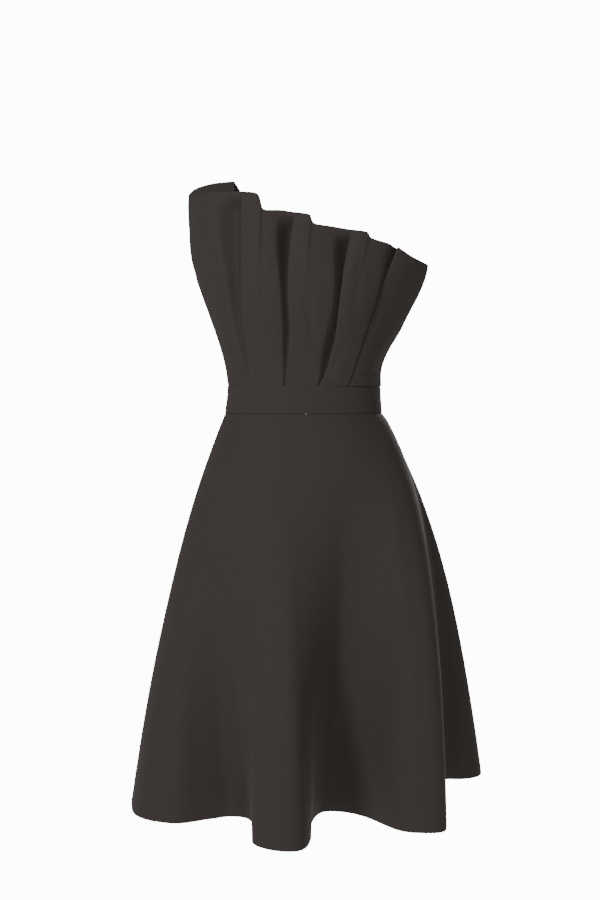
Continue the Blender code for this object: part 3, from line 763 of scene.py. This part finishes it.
def wall(obj, thickness, edge=0.0006):
    """Give a sheet its thickness inwards and soften its cut edges."""
    solid = obj.modifiers.new("Thickness", "SOLIDIFY")
    solid.thickness = thickness
    solid.offset = -1.0
    solid.use_even_offset = True
    rounding = obj.modifiers.new("Soft edges", "BEVEL")
    rounding.width = edge
    rounding.segments = 2
    rounding.limit_method = "ANGLE"
    rounding.angle_limit = radians(62.0)
    rounding.use_clamp_overlap = True
    settle(obj)
    obj.data.shade_smooth()
    return obj


def finish_cloth(obj, node):
    """Colour a cloth piece and put it in place of its solid."""
    obj.data.materials.clear()
    obj.data.materials.append(CLOTH)
    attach(obj, BODY)
    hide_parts(node)


def bodice_front_rows():
    columns = front_columns()
    rows = []
    for share in BODICE_ROWS:
        row = []
        for top, place in columns:
            z = mix(HALF_SEAM, top, share)
            x, depth = place(z, top)
            row.append(Vector((x, -depth, z)))
        rows.append(row)
    lifted = [Vector((point.x, point.y, point.z + UPRIGHT)) for point in rows[0]]
    return [rows[0], lifted, *rows[1:]]


def bodice_back_right_rows():
    """Rows up the back's right half, over the shoulder, and down behind the front."""
    lofts = [
        Loft(z, follow(LEVELS, z, "back"), ZIP_WIDTH / 2 + SEAM, follow(LEVELS, z, "left"),
             follow(LEVELS, z, "left"), 0.0)
        for z in BACK_ROWS
    ]
    lofts += SHOULDER
    rows = []
    for loft in lofts:
        row = []
        for i in range(BODICE_BACK_COLUMNS):
            share = i / (BODICE_BACK_COLUMNS - 1)
            across = sin(share * pi / 2) ** (2 / ROUNDNESS)
            x = mix(loft.inner, loft.outer, across)
            y = max(plan_depth(x, loft.half, abs(loft.y)), HALF_SEAM if loft.z < 0.16 else 0.0)
            y = -y if loft.y < 0 else y
            row.append(Vector((-x, y, loft.z - loft.drop * share ** 1.5)))
        rows.append(row)
    last = rows[-1]
    for z in STRAP_SEATS:
        row = []
        for point in last:
            x = point.x
            depth = seat_depth(x * STRAP_INSET, z) - WALL - STRAP_CLEARANCE
            row.append(Vector((x, -depth, z)))
        rows.append(row)
    return rows


def seat_depth(x, z):
    """Depth of the front's first pleat and the panel left of it, at x."""
    rows = PLEATS[0]
    lip = follow(rows, z, "lip")
    width = follow(rows, z, "width")
    share = min(max(1.4 * (x - lip + width) / width, 0.0), 1.0)
    return front_depth(x, z) - share * follow(rows, z, "depth")


def bodice_back_left_rows():
    rows = []
    for share_up in BODICE_ROWS:
        row = []
        for i in range(BODICE_BACK_COLUMNS):
            share = 1.0 - i / (BODICE_BACK_COLUMNS - 1)
            across = sin(share * pi / 2) ** (2 / ROUNDNESS)
            top = mix(BACK_NECK, UNDERARM_LEFT, across)
            z = mix(HALF_SEAM, top, share_up)
            half = follow(LEVELS, z, "seam")
            x = mix(ZIP_WIDTH / 2 + SEAM, half, across)
            y = max(plan_depth(x, half, follow(LEVELS, z, "back")), HALF_SEAM)
            row.append(Vector((x, y, z)))
        rows.append(row)
    return rows


def band_rows(side, count=33):
    shares = [i / (count - 1) for i in range(count)]
    rows = []
    for ring in reversed(BAND):
        meet = SEAM_MEET * (1 if ring is BAND[0] else -1 if ring is BAND[-1] else 0)
        row = [Vector((x, y, ring.z + meet)) for x, y in spaced(ring_curve(ring, side), shares)]
        for end, inner in ((0, 1), (-1, -2)):
            away = row[inner] - row[end]
            row[end] += away * (HALF_SEAM / away.length)
        if side != "front":
            sign = 1 if side == "back_left" else -1
            row[-1 if side == "back_left" else 0].x = sign * (ZIP_WIDTH / 2 + SEAM)
        rows.append(row)
    return rows


def guide_curve(name, points, z=None):
    """A curve object through points, for node trees to follow."""
    curve = bpy.data.curves.new(name, "CURVE")
    curve.dimensions = "3D"
    line = curve.splines.new("POLY")
    line.points.add(len(points) - 1)
    for spot, point in zip(line.points, points):
        height = z if z is not None else point[2]
        spot.co = (point[0], point[1], height, 1.0)
    return new_object(name, curve)


def skirt_tree():
    """A flared panel: it grows from the waist curve to the hem, and its flutes deepen on the way."""
    tree, wiring, given, result = new_tree(
        "Fluted skirt panel", "GeometryNodeTree",
        (
            ("Columns", "NodeSocketInt", 200),
            ("Rows", "NodeSocketInt", 100),
            ("Waist", "NodeSocketObject", None),
            ("Smooth hem", "NodeSocketObject", None),
            ("Fluted hem", "NodeSocketObject", None),
            ("Waist height", "NodeSocketFloat", BAND_BOTTOM),
            ("Hem height", "NodeSocketFloat", HEM),
            ("Flare bend", "NodeSocketFloat", FLARE_BEND),
            ("Flare lean", "NodeSocketFloat", FLARE_LEAN),
            ("Flutes start", "NodeSocketFloat", FLUTES_START),
            ("Flutes earlier", "NodeSocketFloat", FLUTES_EARLIER),
            ("Flutes power", "NodeSocketFloat", FLUTES_POWER),
            ("Flutes quicker", "NodeSocketFloat", FLUTES_QUICKER),
            ("Ripple depth", "NodeSocketFloat", 0.004),
            ("Ripple seed", "NodeSocketFloat", 0.0),
            ("Cloth", "NodeSocketMaterial", None),
        ),
        (("Panel", "NodeSocketGeometry"),),
    )
    grid = wiring.add("GeometryNodeMeshGrid", {
        "Size X": 1.0, "Size Y": 1.0, "Vertices X": given["Columns"], "Vertices Y": given["Rows"]})
    place = wiring.add("ShaderNodeSeparateXYZ", {0: wiring.add("GeometryNodeInputPosition").outputs[0]})
    across = wiring.math("MAXIMUM", wiring.math("ADD", place.outputs["X"], 0.5), 0.0)
    across = wiring.math("MINIMUM", across, 1.0)
    down = wiring.math("MAXIMUM", wiring.math("SUBTRACT", 0.5, place.outputs["Y"]), 0.0)
    down = wiring.math("MINIMUM", down, 1.0)

    def on_curve(label):
        guide = wiring.add("GeometryNodeObjectInfo", {"Object": given[label]})
        spot = wiring.add("GeometryNodeSampleCurve", {"Curves": guide.outputs["Geometry"], "Factor": across},
                          mode="FACTOR")
        return spot.outputs["Position"]

    waist, smooth, fluted = (on_curve(label) for label in ("Waist", "Smooth hem", "Fluted hem"))
    sideways = wiring.add("ShaderNodeSeparateXYZ", {0: smooth}).outputs["X"]
    lean = wiring.math("MULTIPLY", sideways, given["Flare lean"])
    bend = wiring.math("ADD", given["Flare bend"], lean)
    quick = wiring.math("MULTIPLY", wiring.math("ADD", bend, 1.0), down)
    grow = wiring.math("DIVIDE", quick, wiring.math("ADD", wiring.math("MULTIPLY", bend, down), 1.0))
    to_left = wiring.math("MAXIMUM", sideways, 0.0)
    earlier = wiring.math("MULTIPLY", to_left, given["Flutes earlier"])
    start = wiring.math("SUBTRACT", given["Flutes start"], earlier)
    below = wiring.math("MAXIMUM", wiring.math("SUBTRACT", down, start), 0.0)
    share = wiring.math("DIVIDE", below, wiring.math("SUBTRACT", 1.0, start))
    quicker = wiring.math("MULTIPLY", to_left, given["Flutes quicker"])
    power = wiring.math("SUBTRACT", given["Flutes power"], quicker)
    flutes = wiring.math("POWER", share, power)
    flare = wiring.vector("SCALE", wiring.vector("SUBTRACT", smooth, waist), grow)
    waves = wiring.vector("SCALE", wiring.vector("SUBTRACT", fluted, smooth), flutes)
    flared = wiring.vector("ADD", waist, flare)
    spot = wiring.add("ShaderNodeSeparateXYZ", {0: wiring.vector("ADD", flared, waves)})
    drop = wiring.math("MULTIPLY", wiring.math("SUBTRACT", given["Hem height"], given["Waist height"]), down)
    moved = wiring.add("ShaderNodeCombineXYZ", {
        "X": spot.outputs["X"], "Y": spot.outputs["Y"], "Z": wiring.math("ADD", given["Waist height"], drop)})
    panel = wiring.add("GeometryNodeSetPosition", {
        "Geometry": grid.outputs["Mesh"], "Position": moved.outputs[0]})

    # Long soft ripples that die out at the seams
    kept = []
    for label, field in (("across", across), ("down", down)):
        kept.append(wiring.add("GeometryNodeStoreNamedAttribute", {
            "Geometry": panel.outputs[0] if not kept else kept[-1].outputs[0], "Name": label, "Value": field},
            data_type="FLOAT", domain="POINT"))
    read = [wiring.add("GeometryNodeInputNamedAttribute", {"Name": label}, data_type="FLOAT").outputs[0]
            for label in ("across", "down")]
    cells = wiring.add("ShaderNodeCombineXYZ", {
        "X": wiring.math("MULTIPLY", read[0], 11.0), "Y": wiring.math("MULTIPLY", read[1], 1.8),
        "Z": given["Ripple seed"]})
    ripple = wiring.add("ShaderNodeTexNoise", {"Vector": cells.outputs[0], "Scale": 1.0, "Detail": 2.0})
    fade_sides = wiring.math("MULTIPLY", read[0], wiring.math("SUBTRACT", 1.0, read[0]))
    fade_sides = wiring.math("MINIMUM", wiring.math("MULTIPLY", fade_sides, 16.0), 1.0)
    fade_top = wiring.math("MINIMUM", wiring.math("MULTIPLY", read[1], 6.0), 1.0)
    size = wiring.math("MULTIPLY", wiring.math("SUBTRACT", ripple.outputs["Fac"], 0.5), given["Ripple depth"])
    size = wiring.math("MULTIPLY", size, wiring.math("MULTIPLY", fade_sides, fade_top))
    push = wiring.vector("SCALE", wiring.add("GeometryNodeInputNormal").outputs[0], size)
    rippled = wiring.add("GeometryNodeSetPosition", {"Geometry": kept[-1].outputs[0], "Offset": push})
    smooth_faces = wiring.add("GeometryNodeSetShadeSmooth", {"Geometry": rippled.outputs[0]})
    real = wiring.add("GeometryNodeRealizeInstances", {"Geometry": smooth_faces.outputs[0]})
    coloured = wiring.add("GeometryNodeSetMaterial", {
        "Geometry": real.outputs[0], "Material": given["Cloth"]})
    wiring.feed(result.inputs[0], coloured.outputs[0])
    return tree


def repeat_tree():
    """Small pieces set along a path, each in line with it, swaying from side to side."""
    tree, wiring, given, result = new_tree(
        "Pieces along a path", "GeometryNodeTree",
        (
            ("Path", "NodeSocketObject", None),
            ("Piece", "NodeSocketObject", None),
            ("Pitch", "NodeSocketFloat", 0.003),
            ("Sway", "NodeSocketFloat", 0.0),
            ("Lean", "NodeSocketFloat", 0.0),
            ("Finish", "NodeSocketMaterial", None),
        ),
        (("Pieces", "NodeSocketGeometry"),),
    )
    path = wiring.add("GeometryNodeObjectInfo", {"Object": given["Path"]})
    piece = wiring.add("GeometryNodeObjectInfo", {"Object": given["Piece"]})
    points = wiring.add("GeometryNodeCurveToPoints", {"Curve": path.outputs["Geometry"], "Length": given["Pitch"]},
                        mode="LENGTH")
    order = wiring.add("GeometryNodeInputIndex").outputs[0]
    side = wiring.math("SUBTRACT", wiring.math("MULTIPLY", wiring.math("MODULO", order, 2.0), 2.0), 1.0)
    sway = wiring.add("ShaderNodeCombineXYZ", {"X": wiring.math("MULTIPLY", side, given["Sway"])})
    placed = wiring.add("GeometryNodeSetPosition", {
        "Geometry": points.outputs["Points"], "Offset": sway.outputs[0]})
    turn = wiring.add("FunctionNodeAlignRotationToVector", {"Vector": points.outputs["Tangent"]}, axis="Z")
    tilt = wiring.add("ShaderNodeCombineXYZ", {"Y": wiring.math("MULTIPLY", side, given["Lean"])})
    tilted = wiring.add("FunctionNodeRotateRotation", {"Rotation": turn.outputs[0], "Rotate By": tilt.outputs[0]},
                        rotation_space="LOCAL")
    copies = wiring.add("GeometryNodeInstanceOnPoints", {
        "Points": placed.outputs[0], "Instance": piece.outputs["Geometry"], "Rotation": tilted.outputs[0]})
    real = wiring.add("GeometryNodeRealizeInstances", {"Geometry": copies.outputs[0]})
    coloured = wiring.add("GeometryNodeSetMaterial", {
        "Geometry": real.outputs[0], "Material": given["Finish"]})
    wiring.feed(result.inputs[0], coloured.outputs[0])
    return tree


def grow_from_tree(name, tree, values):
    """Run a geometry tree on an empty mesh and keep the plain mesh that it makes."""
    obj = new_object(name, bpy.data.meshes.new(name))
    step = obj.modifiers.new(tree.name, "NODES")
    step.node_group = tree
    for socket in tree.interface.items_tree:
        if socket.in_out == "INPUT" and socket.name in values:
            step[socket.identifier] = values[socket.name]
    return settle(obj)


def clear_of_centre(obj, side):
    """Draw a back panel's edge back from the zip and, below it, from the other half."""
    sign = 1 if side == "back_left" else -1
    for vert in obj.data.vertices:
        limit = ZIP_WIDTH / 2 + SEAM if vert.co.z > ZIP_BOTTOM - 0.001 else CENTRE_MEET
        if sign * vert.co.x < limit:
            vert.co.x = sign * limit


def close_centre(obj, side):
    """Lay the cut edge of a back panel flat against the other half's, below the zip."""
    sign = 1 if side == "back_left" else -1
    for vert in obj.data.vertices:
        if vert.co.z < ZIP_BOTTOM - 0.003 and sign * vert.co.x < CENTRE_REACH:
            vert.co.x = sign * CENTRE_MEET


def make_skirt():
    tree = skirt_tree()
    cuts = {
        "front": ((0.98, 0.82), 0.4270, 1.0),
        "back_left": ((0.60, 0.74), 0.2560, 5.0),
        "back_right": ((0.56, 0.74), 0.2300, 9.0),
    }
    for side, (flat, area, seed) in cuts.items():
        guides = (
            guide_curve("waist_guide", ring_curve(SKIRT_TOP, side, 160), SKIRT_TOP.z),
            guide_curve("smooth_guide", ring_curve(SMOOTH_HEM, side, 160), HEM),
            guide_curve("fluted_guide", smooth_curve(HEMS[side], 16), HEM),
        )
        panel = grow_from_tree("skirt_" + side + "_cloth", tree, {
            "Columns": SKIRT_COLUMNS[side],
            "Rows": SKIRT_ROWS,
            "Waist": guides[0],
            "Smooth hem": guides[1],
            "Fluted hem": guides[2],
            "Waist height": SKIRT_TOP.z,
            "Ripple seed": seed,
            "Cloth": CLOTH,
        })
        for guide in guides:
            bpy.data.objects.remove(guide, do_unlink=True)
        if side != "front":
            clear_of_centre(panel, side)
        wall(panel, WALL)
        if side != "front":
            close_centre(panel, side)
        finish_cloth(panel, "skirt_" + side)


def make_bodice():
    stations = len(STATIONS)
    lips = {len(ARMHOLE_SIDE) + (stations + 6) * index + stations - 2 for index in range(len(PLEATS))}
    front = smooth_sheet("bodice_front_cloth", bodice_front_rows(), 2, lips)
    press_creases(front, -1)
    wall(front, WALL)
    finish_cloth(front, "bodice_front")

    right = smooth_sheet("bodice_back_right_cloth", bodice_back_right_rows(), 2)
    press_creases(right, 1)
    wall(right, WALL)
    finish_cloth(right, "bodice_back_right")

    left = smooth_sheet("bodice_back_left_cloth", bodice_back_left_rows(), 2)
    press_creases(left, 1)
    wall(left, WALL)
    finish_cloth(left, "bodice_back_left")


def make_waistband():
    cuts = {"front": (0.372, 0.043), "back_left": (0.176, 0.043), "back_right": (0.178, 0.043)}
    for side, flat in cuts.items():
        band = smooth_sheet("waistband_" + side + "_cloth", band_rows(side), 2)
        for vert in band.data.vertices:
            x, y, z = vert.co
            swell = 0.0005 * noise.noise(Vector((x * 30.0, y * 30.0, z * 60.0)))
            vert.co += vert.normal * swell * ease(0.0, 0.008, -z) * ease(0.0, 0.008, z - BAND_BOTTOM)
        wall(band, BAND_WALL, 0.0008)
        finish_cloth(band, "waistband_" + side)


def back_profile(count):
    """The middle of the back from the zip's foot to its head, as (depth, height)."""
    spots = []
    smooth = SMOOTH_HEM.back
    fluted = HEM_BACK_LEFT[-1].y
    for i in range(count):
        z = mix(ZIP_BOTTOM, ZIP_TOP, i / (count - 1))
        if z > 0.0:
            y = follow(LEVELS, z, "back")
        elif z > BAND_BOTTOM:
            y = follow(tuple(reversed(BAND)), z, "back")
        else:
            t = (z - SKIRT_TOP.z) / (HEM - SKIRT_TOP.z)
            grow = (1.0 + FLARE_BEND) * max(t, 0.0) / (1.0 + FLARE_BEND * max(t, 0.0))
            flutes = (max(t - FLUTES_START, 0.0) / (1.0 - FLUTES_START)) ** FLUTES_POWER
            y = mix(SKIRT_TOP.back, smooth, grow) + (fluted - smooth) * flutes
        spots.append((y, z))
    return spots


def small_piece(name, size, rounding):
    """A little rounded block, the shape of one stitch or one tooth."""
    bm = bmesh.new()
    bmesh.ops.create_cube(bm, size=1.0)
    bmesh.ops.scale(bm, vec=size, verts=bm.verts)
    bmesh.ops.bevel(bm, geom=bm.edges[:], offset=rounding, segments=1, affect="EDGES")
    mesh = bpy.data.meshes.new(name)
    bm.to_mesh(mesh)
    bm.free()
    mesh.shade_smooth()
    return new_object(name, mesh)


def make_zip():
    profile = back_profile(90)
    half = ZIP_WIDTH / 2
    rows = [[Vector((x, y - 0.0003, z)) for x in (half, half / 2, 0.0, -half / 2, -half)] for y, z in profile]
    tape = smooth_sheet("zip_tape", rows, 1)
    wall(tape, ZIP_WALL - 0.0003, 0.0002)
    tape.data.materials.append(TAPE)
    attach(tape, BODY)
    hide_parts("zip_chain")

    tree = repeat_tree()
    path = guide_curve("zip_path", [(0.0, y - 0.0001, z) for y, z in profile[:-4]])
    tooth = small_piece("tooth_shape", TOOTH_SIZE, 0.00020)
    teeth = grow_from_tree("zip_teeth", tree, {
        "Path": path, "Piece": tooth, "Pitch": TOOTH_PITCH, "Sway": TOOTH_SWAY, "Finish": METAL})
    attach(teeth, BODY)

    stitch_size = (STITCH_THICKNESS, STITCH_THICKNESS, STITCH_LENGTH)
    stitch = small_piece("stitch_shape", stitch_size, STITCH_THICKNESS * 0.3)
    for name, side in (("zip_stitches_left", 1), ("zip_stitches_right", -1)):
        line = guide_curve(name + "_path", [(side * STITCH_FROM_ZIP, y + 0.0002, z) for y, z in profile])
        stitches = grow_from_tree(name, tree, {
            "Path": line, "Piece": stitch, "Pitch": STITCH_PITCH, "Finish": THREAD})
        ending = "_left" if side > 0 else "_right"
        cling(stitches, line, ("bodice_back", "waistband_back", "skirt_back"), ending)
        bpy.data.objects.remove(line, do_unlink=True)
        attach(stitches, BODY)
    for helper in (path, tooth, stitch):
        bpy.data.objects.remove(helper, do_unlink=True)


def cling(stitches, line, panels, side):
    """Set each stitch on the cloth behind it."""
    targets = [bpy.data.objects[panel + side + "_cloth"] for panel in panels]
    per_piece = len(stitches.data.vertices) // max(round(len(stitches.data.vertices) / 24), 1)
    verts = stitches.data.vertices
    for start in range(0, len(verts), per_piece):
        group = [verts[i] for i in range(start, min(start + per_piece, len(verts)))]
        centre = sum((vert.co for vert in group), Vector()) / len(group)
        hits = []
        for target in targets:
            found, spot, _, _ = target.ray_cast(centre + Vector((0.0, 0.05, 0.0)), Vector((0.0, -1.0, 0.0)))
            if found:
                hits.append(spot.y)
        if hits:
            shift = max(hits) + STITCH_THICKNESS * 0.15 - centre.y
            for vert in group:
                vert.co.y += shift


def make_fitting(node, name, body, rounding):
    """The slider or its pull: the solid's own shape with its edges softened."""
    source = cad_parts[node]
    bm = bmesh.new()
    bm.from_mesh(source.data)
    bm.transform(source.matrix_world)
    bmesh.ops.remove_doubles(bm, verts=bm.verts, dist=0.00001)
    bmesh.ops.dissolve_limit(bm, angle_limit=radians(1.0), verts=bm.verts, edges=bm.edges)
    mesh = bpy.data.meshes.new(name)
    bm.to_mesh(mesh)
    bm.free()
    obj = new_object(name, mesh)
    soften = obj.modifiers.new("Soft edges", "BEVEL")
    soften.width = rounding
    soften.segments = 3
    soften.limit_method = "ANGLE"
    soften.angle_limit = radians(30.0)
    settle(obj)
    obj.data.shade_smooth()
    obj.data.materials.clear()
    obj.data.materials.append(METAL)
    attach(obj, body)
    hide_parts(node)


def make_studio():
    """A pale floor, a white room, broad soft lights and the camera."""
    bpy.ops.mesh.primitive_circle_add(vertices=96, radius=6.0, fill_type="NGON", location=(0.0, 0.0, FLOOR))
    floor = bpy.context.object
    floor.name = "floor"
    pale = bpy.data.materials.new("pale_floor")
    pale.use_nodes = True
    shader = pale.node_tree.nodes["Principled BSDF"]
    shader.inputs["Base Color"].default_value = FLOOR_COLOUR
    shader.inputs["Roughness"].default_value = 0.9
    shader.inputs["Specular IOR Level"].default_value = 0.0
    shader.inputs["Emission Color"].default_value = (1.0, 1.0, 1.0, 1.0)
    wiring = Wiring(pale.node_tree)
    seen = wiring.add("ShaderNodeLightPath").outputs["Is Camera Ray"]
    wiring.feed(shader.inputs["Emission Strength"], wiring.math("MULTIPLY", seen, FLOOR_GLOW))
    floor.data.materials.append(pale)

    world = bpy.data.worlds.new("white_room")
    world.use_nodes = True
    room = world.node_tree.nodes["Background"]
    room.inputs["Color"].default_value = (1.0, 1.0, 1.0, 1.0)
    wiring = Wiring(world.node_tree)
    seen = wiring.add("ShaderNodeLightPath").outputs["Is Camera Ray"]
    strength = wiring.math("ADD", wiring.math("MULTIPLY", seen, ROOM_SEEN - ROOM_GLOW), ROOM_GLOW)
    wiring.feed(room.inputs["Strength"], strength)
    bpy.context.scene.world = world

    for name, place, size, power in LIGHTS:
        lamp = bpy.data.lights.new(name, "AREA")
        lamp.energy = power
        lamp.shape = "DISK"
        lamp.size = size
        obj = bpy.data.objects.new(name, lamp)
        obj.location = place
        aim = Vector((0.0, 0.0, -0.15)) - Vector(place)
        obj.rotation_euler = aim.to_track_quat("-Z", "Y").to_euler()
        bpy.context.scene.collection.objects.link(obj)

    lens = bpy.data.cameras.new("camera")
    lens.sensor_fit = "AUTO"
    lens.sensor_width = 36.0
    lens.lens = CAMERA_LENS
    camera = bpy.data.objects.new("camera", lens)
    camera.location = CAMERA_PLACE
    camera.rotation_euler = (pi / 2 - CAMERA_TILT, 0.0, 0.0)
    bpy.context.scene.collection.objects.link(camera)
    bpy.context.scene.camera = camera


LIP_CREASE = 0.45
CAMERA_PLACE = (-0.0065, -2.0526, -0.0169)
CAMERA_TILT = 0.0424
CAMERA_LENS = 50.0

# Brightness of the white room as the camera sees it and as it lights the dress
ROOM_SEEN = 13.0
ROOM_GLOW = 0.16
FLOOR_GLOW = 12.0
LIGHTS = (
    ("key", (-2.0, -2.5, 1.3), 0.8, 78.0),
    ("fill", (0.5, -3.3, 0.9), 0.9, 50.0),
    ("rear", (0.9, 3.0, 1.2), 1.6, 85.0),
)

CREPE_SURFACE = crepe_group()
METAL_SURFACE = metal_group()
CLOTH = finish_material(
    "crepe_cloth", CREPE_SURFACE, {"Dark": CLOTH_DARK, "Light": CLOTH_LIGHT}, 0.22, 0.0004,
    Specular_IOR_Level=0.22, Sheen_Weight=0.08, Sheen_Roughness=0.6, Sheen_Tint=(0.60, 0.52, 0.48, 1.0))
TAPE = finish_material(
    "zip_tape_weave", CREPE_SURFACE,
    {"Dark": TAPE_DARK, "Light": TAPE_LIGHT, "Pebble scale": 2600.0, "Roughness": 0.75}, 0.4, 0.0003,
    Specular_IOR_Level=0.3)
THREAD = finish_material(
    "sewing_thread", CREPE_SURFACE,
    {"Dark": CLOTH_LIGHT, "Light": THREAD_COLOUR, "Pebble scale": 4000.0, "Roughness": 0.6}, 0.3, 0.0002,
    Specular_IOR_Level=0.35, Sheen_Weight=0.3)
METAL = finish_material(
    "dark_metal", METAL_SURFACE, {"Dark": METAL_DARK, "Light": METAL_LIGHT}, 0.1, 0.0001, Metallic=1.0)

make_studio()
make_waistband()
make_bodice()
make_skirt()
make_zip()
make_fitting("zip_slider", "zip_slider_body", BODY, 0.00035)
make_fitting("zip_pull", "zip_pull_tab", PULL_BODY, 0.00035)
